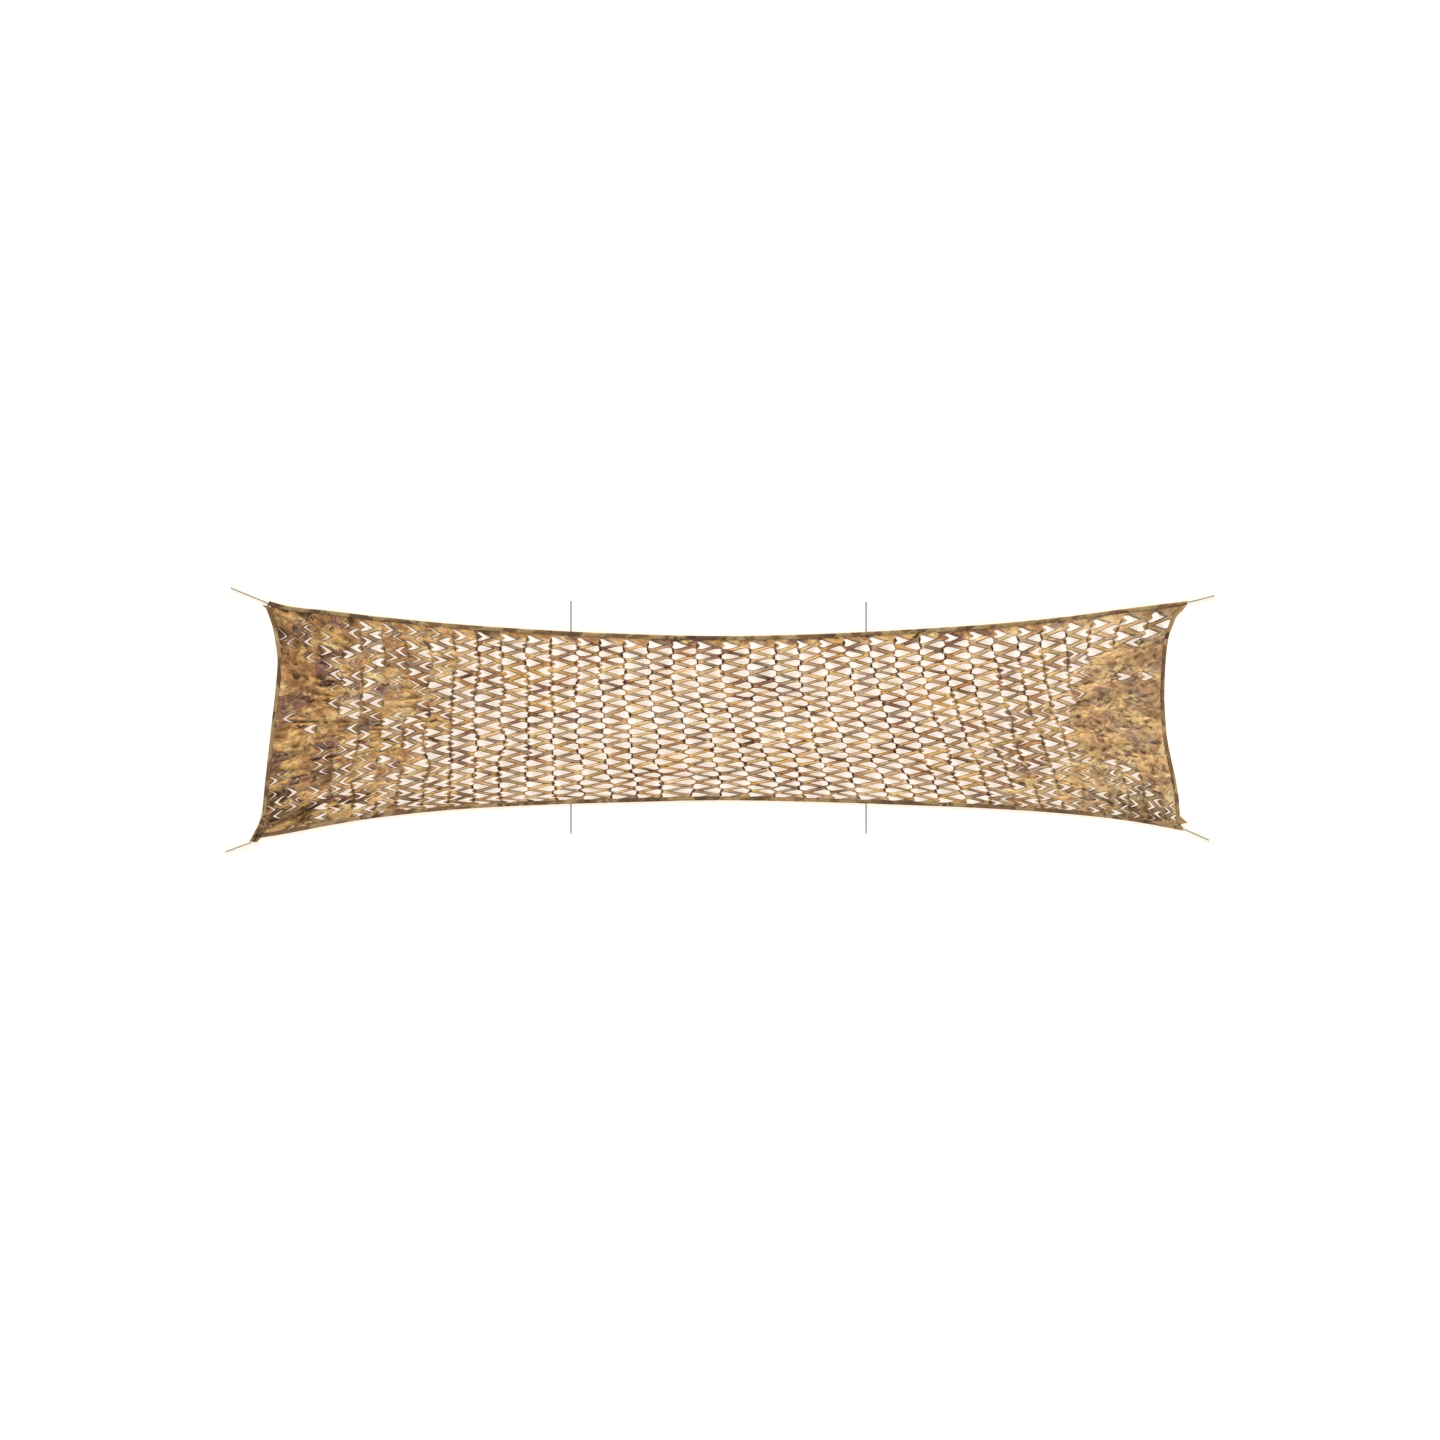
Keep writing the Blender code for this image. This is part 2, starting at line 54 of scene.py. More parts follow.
FLOOR_TONE = (0.43, 0.43, 0.43, 1)
FLOOR_GLOW = (1.0, 0.84, 0.70, 1)
FLOOR_GLOW_STRENGTH = 0.79

# The solids' own sizes
HALF_LENGTH = 1.5355
TAPE_WIDTH = 0.0135
GAP = 0.0003
TAPE_HEIGHT = 0.0038
CORD_DIAMETER = 0.005
CORD_HEIGHT = 0.0027
YARN_SHARE = 0.93  # of the cord's radius, on which its strands then swell
CORD_POINTS = 10
CORD_LAY = {"Strands": 3.0, "Groove": 0.12, "Lay Length": 0.014, "Step": 0.001}

# The cut pattern. Lengths along a cut are in columns and heights in rows.
COLUMNS = 37
ROWS = 16
SEAM_HALF = 0.022  # half the width of the uncut seam between two columns
ROOT_HALF = 0.355  # half the height of a leaf where it grows from the seam
ROOT_EDGE_SHADE = 0.25  # how much of the painted shade along the edges of a cut shows at the ends of a leaf's root
TIP_SHUT = 0.53  # from the seam's middle to a cut's tip
BULGE_SHUT = 1.9  # how round a shut cut's flanks are; 1 is straight
# An open cut's half height at five distances from the seam's middle, from its root to its tip
OPEN_FLANK = [(0.016, 0.13), (0.07, 0.272), (0.16, 0.288), (0.36, 0.185), (0.66, 0.0)]
RIGHT_CUT = (0.25, 0.5)  # a place in the cut of a cell whose leaf points right
LEFT_CUT = (0.75, 0.0)  # and in the one that points left; the next row has its like
LEAF_ROWS = 4  # steps from a leaf's root to its tip
LEAF_SPREAD = 1.02  # a leaf lies this much past the edges of the cut that it came from
LEAF_LEVEL = 0.5  # sets the leaves apart from the rest while the cells are joined
END_CROWDING = 0.225  # how much closer the columns lie at the net's ends
ROW_THINNING = 0.18  # how much closer the rows lie at its lower side than at its upper one
LOWER_CROWDING = (0.45, 0.24)  # how much closer the lowest rows lie at its left end, and elsewhere
CROWDING_POWER = 9  # how fast that fades out upwards
LEFT_PART = (0.12, 0.35)  # where, as shares of the net's length, it fades out, and over how much
CLOTH_INSET = 0.0065  # the cloth's raw edge lies this far inside the tapes' folds
TOP_LEFT_LIMIT = (-1.4660, 0.3600)  # the cloth ends here, short of the loose tape tips
# How far right of its middle a seam's lower end lies, by its share of the way along the net
SEAM_LEANS = [
    (0, 0), (0.2, 0.004), (0.37, 0.024), (0.5, 0.042), (0.65, 0.062), (0.8, 0.070),
    (0.9, 0.066), (0.95, 0.044), (1, 0),
]
LEAN_BOWED = 0.45  # the share of a seam's lean that is curved; the rest is straight
TOP_MARGIN = 0.016  # the highest cuts lie this much of the net's height lower than the others
MARGIN_ROWS = 0.35  # the part of the highest row that is stretched to fill that
SEAM_SWAY = 0.105  # how far the pull of the arms bends the seams to and fro
SWAY_REACH = 0.35  # how far from the seam that bend fades out
OPENING_WAVE = 0.20  # how unevenly the cuts are pulled open from place to place,
OPENING_LUCK = 0.30  # and from each to the next
TOP_SHUT_ROWS = 0.7  # the cuts within this much of the upper tape stay shut
LONE_OPEN = 0.72  # how far the lone holes in the bunched cloth are open
FLAT_COLUMN = 0.068  # size of a cell in the cloth before it was stretched
FLAT_ROW = 0.047

# Heights
CLOTH_THICK = 0.0007
SHARP_ANGLE = 60  # degrees; flatter edges of the cloth are shaded smooth
CLOTH_LOW = 0.0006  # the cloth's middle where it touches the floor
TAPED_HEIGHT = 0.0019  # the cloth's middle between the two layers of a tape
RELIEF_TOP = 0.0165  # no leaf or fold rises more than this
RELIEF_FREE = 0.6  # up to this share of it, heights are kept; those above are pressed together
LEVEL_INSET = 0.0150  # the cloth lies flat this far inward from a tape's fold,
RELIEF_FADE = 0.030  # and its relief is whole this much farther in
SEAM_BULGE = 0.0030  # rise of the seam where a leaf stands up
CRUMPLE = 0.0070  # height of the small creases where the cloth is bunched
CREASE_SPREAD = 1.3  # how fast the creases draw together from the short sides inward
CURL_START = 0.66  # a leaf begins to stand up once its cut is this far open
CURL_FULL = 0.90
CURL_LUCK = 0.3  # how unevenly leaves stand up
NARROW_RUN = 0.2  # a leaf is fully narrowed when its cut is open this much beyond the start
LEAF_SHRINK = 0.50  # how much it puckers before that
LEAF_OPEN = 0.0100  # length of a leaf that stands up,
LENGTH_RANGE = (0.75, 0.45)  # times the least share, and up to so much more
LEAF_LEAN = (0.65, 1.0)  # angle at its root and further turn up to its tip
LEAN_LUCK = 0.9  # how unlike such leaves lean
LEAF_LIFT = 0.0009  # a shut leaf lies on the cloth beside it
GATHER = 0.65  # how much narrower a leaf becomes when it stands up
DARK_ROOTS = (0.27, 0.12)  # the higher, the fewer leaves are rolled up, with painted shade at their roots
DARK_LEAN = -0.40  # such a leaf leans further into its hole,
DARK_GATHER = -0.35  # and is less narrow
VALLEY_SHADES = (0.62, 0.34)  # how dark the creases' bottoms are at the left and right end
SHADE = 0.48  # how dark the shady corners are
ROOT_SHADE = 0.4  # how far along a rolled leaf the dark at its root reaches
SEAM_SHADE = 0.100  # and how far from the seam, in columns
CREASE_SHARES = (0.45, 0.85)  # how strongly small creases shade the left and the right end
PALE_GAIN = 2.6  # painted light: how soon the arms beside an opening cut are painted fully paler
PALE_PATCH = (0.055, 0.032)  # length and height of the patches in which they are painted paler unevenly,
PALE_MIDDLE = 0.55  # about this share
PALE_SWING = 0.9  # by up to so much
RIGHT_PAINTED_LIGHT = 0.42  # painted light: the cloth's right end is painted this much paler
RIGHT_PART = (0.9, 0.4)  # from this x on, and fully so much farther right
ARM_TILT = 0.0085  # height of an arm's raised edge
ARM_CUP = 0.0015  # height of its middle

# The outer edges of the long sides: x, y at the top and y at the bottom
LONG_SIDES = [
    (-1.560, 0.4250, -0.3885), (-1.470, 0.3945, -0.3750), (-1.400, 0.3768, -0.3630),
    (-1.270, 0.3625, -0.3380), (-1.120, 0.3445, -0.3140), (-0.880, 0.3210, -0.2886),
    (-0.585, 0.3005, -0.2722), (-0.290, 0.2870, -0.2630), (0.000, 0.2805, -0.2570),
    (0.298, 0.2860, -0.2620), (0.592, 0.3000, -0.2716), (0.886, 0.3190, -0.2840),
    (1.130, 0.3430, -0.3005), (1.340, 0.3710, -0.3240), (1.560, 0.3985, -0.3635),
]

# The outer edges of the short sides: y and x
LEFT_SIDE = [
    (-0.400, -1.5400), (-0.3605, -1.5183), (-0.3343, -1.5058), (-0.3020, -1.4955),
    (-0.2232, -1.4872), (-0.1251, -1.4764), (0.0057, -1.4617), (0.1038, -1.4506),
    (0.1987, -1.4437), (0.2608, -1.4506), (0.3164, -1.4617), (0.3752, -1.4827),
    (0.4200, -1.5010),
]
RIGHT_SIDE = [
    (-0.3700, 1.5130), (-0.2971, 1.5068), (-0.2395, 1.5022), (-0.1823, 1.4921),
    (-0.0597, 1.4666), (0.0548, 1.4574), (0.1365, 1.4574), (0.2111, 1.4620),
    (0.2801, 1.4712), (0.3121, 1.4829), (0.3442, 1.4967), (0.3671, 1.5185),
    (0.3960, 1.5385),
]

# Ovals where the cloth is bunched and its cuts lie shut: x, y, half length, half height, how far
# past the oval, in its own half sizes, the cuts are fully open, and how far they are open inside
SHUT_PATCHES = [
    (-1.480, 0.050, 0.200, 0.200, 0.50, 0.00),
    (-1.490, 0.010, 0.235, 0.420, 0.60, 0.12),
    (-1.470, 0.050, 0.330, 0.350, 2.60, 0.36),
    (-1.420, 0.300, 0.200, 0.120, 0.80, 0.09),
    (1.430, 0.030, 0.250, 0.210, 0.40, 0.00),
    (1.480, -0.220, 0.330, 0.150, 0.40, 0.16),
    (1.450, -0.100, 0.400, 0.230, 1.30, 0.46),
]

# Round places where a cut or two gape in the bunched cloth: x, y and radius
LONE_HOLES = [
    (-1.391, 0.022, 0.016), (-1.350, -0.045, 0.020), (-1.285, -0.285, 0.030),
    (-1.224, -0.223, 0.022), (-1.330, 0.352, 0.018), (1.321, 0.133, 0.018),
    (1.401, 0.159, 0.016), (1.158, -0.086, 0.022), (1.295, -0.135, 0.024),
    (1.400, -0.060, 0.016), (1.334, -0.148, 0.018), (1.362, -0.189, 0.018),
    (1.403, -0.236, 0.016), (1.442, -0.282, 0.018), (1.300, -0.295, 0.016),
]

# Round places where the corners lie in shade: x, y and radius
SHADY_PLACES = [
    (-1.425, 0.310, 0.115), (-1.350, 0.330, 0.070), (-1.440, -0.290, 0.080),
    (-1.350, -0.300, 0.060), (1.400, -0.290, 0.090), (1.300, -0.270, 0.050),
    (1.430, 0.320, 0.110),
]

# Soft ridges: x and y of both ends, height (below zero for a trough) and width
FOLDS = [
    (-1.440, 0.330, -1.180, 0.180, 0.0070, 0.022),
    (-1.400, 0.230, -1.150, 0.090, 0.0055, 0.018),
    (-1.410, 0.120, -1.190, 0.105, -0.0020, 0.018),
    (-1.420, 0.050, -1.130, 0.010, 0.0075, 0.024),
    (-1.430, -0.050, -1.200, -0.080, 0.0050, 0.018),
    (-1.440, -0.150, -1.180, -0.150, 0.0065, 0.020),
    (-1.450, -0.300, -1.170, -0.210, 0.0080, 0.022),
    (1.430, 0.250, 1.180, 0.150, 0.0060, 0.022),
    (1.420, 0.150, 1.150, 0.080, 0.0075, 0.020),
    (1.430, 0.060, 1.160, 0.010, 0.0050, 0.018),
    (1.440, -0.040, 1.130, -0.070, 0.0080, 0.024),
    (1.460, -0.140, 1.190, -0.150, 0.0055, 0.020),
    (1.480, -0.270, 1.200, -0.190, 0.0070, 0.022),
    (-0.900, 0.150, 0.900, 0.100, 0.0020, 0.050),
    (-0.900, -0.110, 0.900, -0.090, 0.0025, 0.050),
]

# Two sizes of small creases: seed, how many fill a metre along and across, and share of the height
CREASES = [(21, 9, 40, 1.0), (22, 20, 75, 0.6)]
CREASE_SHORTNESS = (1.3, 4.0)  # how much shorter than that they are at the left and right end

# Waves that bend the pattern along the net and across it: seed, height in cells, and how many
# fill a column and a row
WAVES_ALONG = [(1, 0.13, 0.7, 0.45), (2, 0.06, 1.3, 0.9)]
WAVES_ACROSS = [(3, 0.15, 0.6, 0.5), (4, 0.07, 1.7, 1.1)]

# Loose tape ends at the corners
TOP_LEFT_TIP = (-1.4700, 0.3945)
TOP_LEFT_NOTCH = (-1.4775, 0.3800)
LEFT_TAPE_TAIL = (-1.4945, 0.3808)
LEFT_TAPE_TOP = (-1.4705, 0.3785)
LEFT_TAIL_LENGTH = 0.007
TOP_RIGHT_TIP = (1.5355, 0.3950)
TONGUE_START = -0.3300
TONGUE_NECK = (-1.4990, -0.3800)
TONGUE_OUTER = (-1.5355, -0.3910)
TONGUE_INNER = (-1.5124, -0.3950)
BOTTOM_RIGHT_OUTER = (1.5205, -0.3558)
BOTTOM_RIGHT_INNER = (1.5170, -0.3430)
RIGHT_TAPE_TAIL = (1.5330, -0.3310)
RIGHT_TAIL_START = -0.3080
RIGHT_TAIL_DROP = 0.003
RIGHT_TAIL_INNER = (-0.3250, -0.3300)

# Each tie cord's root at the tape and its free end; a root without a height is at the tape's edge
TIE_CORDS = {
    "cord_top_left": ((-1.4744, 0.3875), (-1.5961, 0.4374)),
    "cord_bottom_left": ((-1.5300, -0.3946), (-1.6140, -0.4255)),
    "cord_top_right": ((1.5357, 0.3910), (1.6205, 0.4120)),
    "cord_bottom_right": ((1.5212, -0.3510), (1.6023, -0.3875)),
    "cord_top_mid_left": ((-0.484, None), (-0.484, 0.3945)),
    "cord_top_mid_right": ((0.481, None), (0.481, 0.3925)),
    "cord_bottom_mid_left": ((-0.484, None), (-0.484, -0.3655)),
    "cord_bottom_mid_right": ((0.481, None), (0.481, -0.3655)),
}


# ---- outline of the net

SLOPE_STEP = 0.002  # to measure an edge's slope over


def smooth_curve(stations):
    """A function that gives, for an array of places, the smooth curve through such pairs."""
    places, values = (np.array(column, float) for column in zip(*stations))
    slopes = np.empty(len(places))
    slopes[1:-1] = (values[2:] - values[:-2]) / (places[2:] - places[:-2])
    slopes[0] = (values[1] - values[0]) / (places[1] - places[0])
    slopes[-1] = (values[-1] - values[-2]) / (places[-1] - places[-2])

    def value(at):
        at = np.asarray(at, float)
        i = np.clip(np.searchsorted(places, at, side="right") - 1, 0, len(places) - 2)
        span = places[i + 1] - places[i]
        t = (at - places[i]) / span
        return (
            (2 * t**3 - 3 * t**2 + 1) * values[i]
            + (t**3 - 2 * t**2 + t) * span * slopes[i]
            + (3 * t**2 - 2 * t**3) * values[i + 1]
            + (t**3 - t**2) * span * slopes[i + 1]
        )

    return value


top_edge = smooth_curve([(x, top) for x, top, _ in LONG_SIDES])
bottom_edge = smooth_curve([(x, bottom) for x, _, bottom in LONG_SIDES])
left_edge = smooth_curve(LEFT_SIDE)
right_edge = smooth_curve(RIGHT_SIDE)


def inset_line(edge, inward):
    """The line inside an edge, as a function of the place along it and of the inset."""

    def line(at, inset):
        slope = (edge(at + SLOPE_STEP) - edge(at - SLOPE_STEP)) / (2 * SLOPE_STEP)
        return edge(at) + inward * inset * np.sqrt(1 + slope * slope)

    return line


top_line, bottom_line = inset_line(top_edge, -1), inset_line(bottom_edge, 1)
left_line, right_line = inset_line(left_edge, 1), inset_line(right_edge, -1)


def meeting(long_line, long_inset, short_line, short_inset):
    """Where a line along a long side crosses a line along a short side."""
    y = 0.0
    for _ in range(12):
        x = float(short_line(y, short_inset))
        y = float(long_line(x, long_inset))
    return x, y


def smoothstep(t):
    t = np.clip(t, 0.0, 1.0)
    return t * t * (3 - 2 * t)


def ripple(seed, x, y):
    """Smooth noise from -1 to 1 with one bump or hollow for each unit of x and y."""
    size = 64
    table = np.random.default_rng(seed).uniform(-1, 1, (size, size))
    x0, y0 = np.floor(x).astype(int), np.floor(y).astype(int)
    fx, fy = smoothstep(x - x0), smoothstep(y - y0)
    x0, y0, x1, y1 = x0 % size, y0 % size, (x0 + 1) % size, (y0 + 1) % size
    low = table[x0, y0] * (1 - fx) + table[x1, y0] * fx
    high = table[x0, y1] * (1 - fx) + table[x1, y1] * fx
    return low * (1 - fy) + high * fy


def waves(table, x, y):
    """The sum of waves, each given by its seed, its height and how many fill a unit of x and y."""
    return sum(height * ripple(seed, x * in_x, y * in_y) for seed, height, in_x, in_y in table)


# ---- node trees


def node(tree, kind, inputs=None, **settings):
    """Adds a node. The inputs are values or other nodes' outputs, by socket name or number."""
    made = tree.nodes.new(kind)
    for key, value in settings.items():
        setattr(made, key, value)
    for key, value in (inputs or {}).items():
        if isinstance(value, bpy.types.NodeSocket):
            tree.links.new(value, made.inputs[key])
        else:
            made.inputs[key].default_value = value
    return made


def output(tree, kind, inputs=None, **settings):
    """Adds a node and gives its first output."""
    return node(tree, kind, inputs, **settings).outputs[0]


def calc(tree, operation, *values):
    """The result of a Math node."""
    return output(tree, "ShaderNodeMath", dict(enumerate(values)), operation=operation)


def scaled(tree, vector, factor):
    """A vector or colour times a factor."""
    return output(tree, "ShaderNodeVectorMath", {0: vector, "Scale": factor}, operation="SCALE")


def node_group(name, inputs, result, kind="ShaderNodeTree"):
    """A new node group: its tree, the sockets that it is given, and the one for its result."""
    tree = bpy.data.node_groups.new(name, kind)
    for label, socket_kind, *default in inputs:
        socket = tree.interface.new_socket(
            label, in_out="INPUT", socket_type="NodeSocket" + socket_kind
        )
        if default:
            socket.default_value = default[0]
    label, socket_kind = result
    tree.interface.new_socket(label, in_out="OUTPUT", socket_type="NodeSocket" + socket_kind)
    given = tree.nodes.new("NodeGroupInput").outputs
    return tree, given, tree.nodes.new("NodeGroupOutput").inputs[0]


def new_object(name, data):
    obj = bpy.data.objects.new(name, data)
    bpy.context.scene.collection.objects.link(obj)
    return obj


def grow(name, start, tree, values):
    """Runs a Geometry Nodes tree on a start mesh and makes an object of the plain mesh it gives."""
    obj = new_object(name, start)
    modifier = obj.modifiers.new(tree.name, "NODES")
    modifier.node_group = tree
    for item in tree.interface.items_tree:
        if item.name in values and item.in_out == "INPUT":
            modifier[item.identifier] = values[item.name]
    return settle(obj)


def settle(obj):
    """Replaces an object's modifiers by the plain mesh that they make."""
    depsgraph = bpy.context.evaluated_depsgraph_get()
    mesh = bpy.data.meshes.new_from_object(
        obj.evaluated_get(depsgraph), preserve_all_data_layers=True, depsgraph=depsgraph
    )
    obj.modifiers.clear()
    obj.data = mesh
    mesh.name = obj.name
    return obj


GROWTH = "GeometryNodeTree"


def even_curve(tree, line, step):
    """A line's mesh as a curve with evenly spaced points."""
    curve = output(tree, "GeometryNodeMeshToCurve", {"Mesh": line})
    spacing = {"Curve": curve, "Length": step}
    return output(tree, "GeometryNodeResampleCurve", spacing, mode="LENGTH")


def end_growth(tree, shape, material, out):
    """Ends a Geometry Nodes tree: real geometry, smooth, with its material set."""
    real = output(tree, "GeometryNodeRealizeInstances", {"Geometry": shape})
    smooth = output(tree, "GeometryNodeSetShadeSmooth", {"Geometry": real})
    dress = {"Geometry": smooth, "Material": material}
    tree.links.new(output(tree, "GeometryNodeSetMaterial", dress), out)
    return tree


def leaf_cut_tree():
    """Geometry Nodes: one cell of the cut pattern, repeated in columns and rows and joined up."""
    sockets = [("Cell", "Geometry"), ("Columns", "Int"), ("Rows", "Int"), ("Cloth", "Material")]
    tree, given, out = node_group("Leaf Cut Rows", sockets, ("Net", "Geometry"), GROWTH)
    long, high = (calc(tree, "SUBTRACT", given[side], 1.0) for side in ("Columns", "Rows"))
    counts = {"Vertices X": given["Columns"], "Vertices Y": given["Rows"]}
    grid = output(tree, "GeometryNodeMeshGrid", {"Size X": long, "Size Y": high, **counts})
    middle = scaled(tree, output(tree, "ShaderNodeCombineXYZ", {"X": long, "Y": high}), 0.5)
    placed = output(tree, "GeometryNodeTransform", {"Geometry": grid, "Translation": middle})
    pattern = {"Points": placed, "Instance": given["Cell"]}
    cells = output(tree, "GeometryNodeInstanceOnPoints", pattern)
    real = output(tree, "GeometryNodeRealizeInstances", {"Geometry": cells})
    joined = output(tree, "GeometryNodeMergeByDistance", {"Geometry": real, "Distance": 0.002})
    return end_growth(tree, joined, given["Cloth"], out)


def twisted_cord_tree():
    """Geometry Nodes: a line becomes a cord laid up from strands."""
    sizes = [(size, "Float") for size in ("Radius", "Strands", "Groove", "Lay Length", "Step")]
    sockets = [("Line", "Geometry"), *sizes, ("Yarn", "Material")]
    tree, given, out = node_group("Twisted Cord", sockets, ("Cord", "Geometry"), GROWTH)
    fine = even_curve(tree, given["Line"], given["Step"])
    run = node(tree, "GeometryNodeSplineParameter").outputs["Length"]
    turns = calc(tree, "DIVIDE", run, given["Lay Length"])
    tilt = calc(tree, "MULTIPLY", turns, 2 * math.pi)
    laid = output(tree, "GeometryNodeSetCurveTilt", {"Curve": fine, "Tilt": tilt})
    round_yarn = {"Resolution": 24, "Radius": given["Radius"]}
    circle = output(tree, "GeometryNodeCurvePrimitiveCircle", round_yarn)
    place = output(tree, "GeometryNodeInputPosition")
    parts = node(tree, "ShaderNodeSeparateXYZ", {0: place}).outputs
    angle = calc(tree, "ARCTAN2", parts["Y"], parts["X"])
    wave = calc(tree, "COSINE", calc(tree, "MULTIPLY", angle, given["Strands"]))
    swell = calc(tree, "MULTIPLY_ADD", wave, given["Groove"], 1.0)
    lobed = {"Geometry": circle, "Position": scaled(tree, place, swell)}
    profile = output(tree, "GeometryNodeSetPosition", lobed)
    sweep = {"Curve": laid, "Profile Curve": profile, "Fill Caps": True}
    tube = output(tree, "GeometryNodeCurveToMesh", sweep)
    return end_growth(tree, tube, given["Yarn"], out)


def stitch_tree():
    """Geometry Nodes: a row of short stitches along a line."""
    sizes = [("Spacing", "Float"), ("Stitch Size", "Vector")]
    sockets = [("Line", "Geometry"), *sizes, ("Thread", "Material")]
    tree, given, out = node_group("Row of Stitches", sockets, ("Stitches", "Geometry"), GROWTH)
    points = even_curve(tree, given["Line"], given["Spacing"])
    tangent = output(tree, "GeometryNodeInputTangent")
    along = output(tree, "FunctionNodeAlignRotationToVector", {"Vector": tangent}, axis="X")
    bead = {"Segments": 6, "Rings": 4, "Radius": 1.0}
    row = {
        "Points": points,
        "Instance": output(tree, "GeometryNodeMeshUVSphere", bead),
        "Rotation": along,
        "Scale": given["Stitch Size"],
    }
    stitches = output(tree, "GeometryNodeInstanceOnPoints", row)
    return end_growth(tree, stitches, given["Thread"], out)


# ---- materials

MIX_FACTOR, MIX_A, MIX_B, MIX_RESULT = 0, 6, 7, 2  # the colour sockets of a Mix node

# The dyes after the ground, in the order of printing: where their noise is looked up, its scale,
# and the heights between which a blotch's edge lies
BLOTCHES = {
    "Brown": ((0.0, 0.0, 0.0), 1.0, 0.47, 0.52),
    "Mauve": ((7.3, 2.1, 4.0), 1.2, 0.53, 0.59),
    "Pale": ((3.1, 9.7, 8.0), 1.5, 0.58, 0.65),
    "Dark": ((1.7, 5.2, 2.0), 2.3, 0.62, 0.67),
}
PRINT_STRETCH = (8.5, 12.0, 1.0)  # units of that noise in a metre of flat cloth
MOTTLE = (0.70, 1.24)  # the dyes' darkest and lightest shade
CLOTH_DYES = {
    "Ground": (0.71, 0.412, 0.150, 1),
    "Brown": (0.46, 0.225, 0.088, 1),
    "Mauve": (0.270, 0.138, 0.088, 1),
    "Dark": (0.125, 0.060, 0.025, 1),
    "Pale": (0.84, 0.585, 0.26, 1),
}
TAPE_DYES = {
    "Ground": (0.36, 0.245, 0.115, 1),
    "Brown": (0.20, 0.115, 0.055, 1),
    "Mauve": (0.130, 0.080, 0.045, 1),
    "Dark": (0.075, 0.048, 0.025, 1),
    "Pale": (0.40, 0.30, 0.15, 1),
}
PAINTED_LIGHT_SHARE = 0.42  # how much of the painted light's pale tone shows where it is strongest
PAINTED_LIGHT_TONE = (0.98, 0.76, 0.48, 1)
# Tone of the painted shade at leaf roots, in crease bottoms and in shady corners
PAINTED_SHADE_TONE = (0.030, 0.012, 0.004, 1)
# Tone of the painted shade along the edges of the cuts
EDGE_SHADE_TONE = (0.05, 0.028, 0.014, 1)
# Tones of the painted shade in crease bottoms and of the painted highlight on crease crests
CREASE_SHADE_TONE = (0.12, 0.047, 0.016, 1)
CREST_HIGHLIGHT_TONE = (0.98, 0.66, 0.31, 1)
# Tone of the painted shade between the tape's pleats
TAPE_PAINTED_SHADE_TONE = (0.035, 0.020, 0.010, 1)
THREAD_PITCH = 0.0009  # of the weave
PUCKER_LENGTH = 0.005
# Spun yarns: their lighter and darker tone, and how fine their fibres are
CORD_YARN = ((0.38, 0.40, 0.36, 1), (0.18, 0.19, 0.17, 1), 420.0)
SEWING_THREAD = ((0.24, 0.17, 0.09, 1), (0.12, 0.08, 0.04, 1), 900.0)


def mix_colours(tree, factor, first, second):
    colours = {MIX_FACTOR: factor, MIX_A: first, MIX_B: second}
    return node(tree, "ShaderNodeMix", colours, data_type="RGBA").outputs[MIX_RESULT]


def noise(tree, place, scale, detail, roughness, distortion=0.0):
    cloud = {"Scale": scale, "Detail": detail, "Roughness": roughness, "Distortion": distortion}
    return node(tree, "ShaderNodeTexNoise", {"Vector": place, **cloud}).outputs["Fac"]


def ranged(tree, value, low, high, to_low=0.0, to_high=1.0, **settings):
    """A value taken from one range to another, and kept inside that."""
    limits = {"From Min": low, "From Max": high, "To Min": to_low, "To Max": to_high}
    return output(tree, "ShaderNodeMapRange", {"Value": value, **limits}, **settings)


def bump(tree, height, strength, distance, below=None):
    """The normals of a relief, on top of those below where they are given."""
    relief = {"Strength": strength, "Distance": distance, "Height": height}
    if below is not None:
        relief["Normal"] = below
    return output(tree, "ShaderNodeBump", relief)


def carried(tree, name):
    """A value that the points of the mesh carry."""
    return node(tree, "ShaderNodeAttribute", attribute_name=name).outputs["Fac"]


def shared(tree, group, **inputs):
    """The result of a shader group that several materials share."""
    named = {key.replace("_", " "): value for key, value in inputs.items()}
    return output(tree, "ShaderNodeGroup", named, node_tree=group)


def blotch_mask(tree, place, offset, scale, low, high):
    """A mask of soft-edged blotches: places where a noise lies above its threshold."""
    moved = output(tree, "ShaderNodeVectorMath", {0: place, 1: offset}, operation="ADD")
    cloud = noise(tree, moved, scale, 3.0, 0.55, 0.6)
    return ranged(tree, cloud, low, high, interpolation_type="SMOOTHSTEP")


def camouflage_group():
    """Shader group: a generic desert print of soft blotches, on the flat cloth's coordinates."""
    sockets = [("Place", "Vector"), *((dye, "Color") for dye in CLOTH_DYES)]
    tree, given, out = node_group("Desert Print", sockets, ("Colour", "Color"))
    stretch = {0: given["Place"], 1: PRINT_STRETCH}
    place = output(tree, "ShaderNodeVectorMath", stretch, operation="MULTIPLY")
    colour = given["Ground"]
    for dye, blotches in BLOTCHES.items():
        colour = mix_colours(tree, blotch_mask(tree, place, *blotches), colour, given[dye])
    shade = ranged(tree, noise(tree, place, 5.0, 5.0, 0.7), 0.3, 0.7, *MOTTLE)
    tree.links.new(scaled(tree, colour, shade), out)
    return tree


def crease_group():
    """Shader group: the height of small creases with sharp crests."""
    sockets = [("Place", "Vector"), ("Per Metre", "Float")]
    tree, given, out = node_group("Soft Creases", sockets, ("Height", "Float"))
    cloud = noise(tree, given["Place"], given["Per Metre"], 2.0, 0.5, 0.5)
    valley = calc(tree, "ABSOLUTE", calc(tree, "SUBTRACT", cloud, 0.5))
    tree.links.new(ranged(tree, valley, 0.0, 0.22, 1.0, 0.0), out)
    return tree


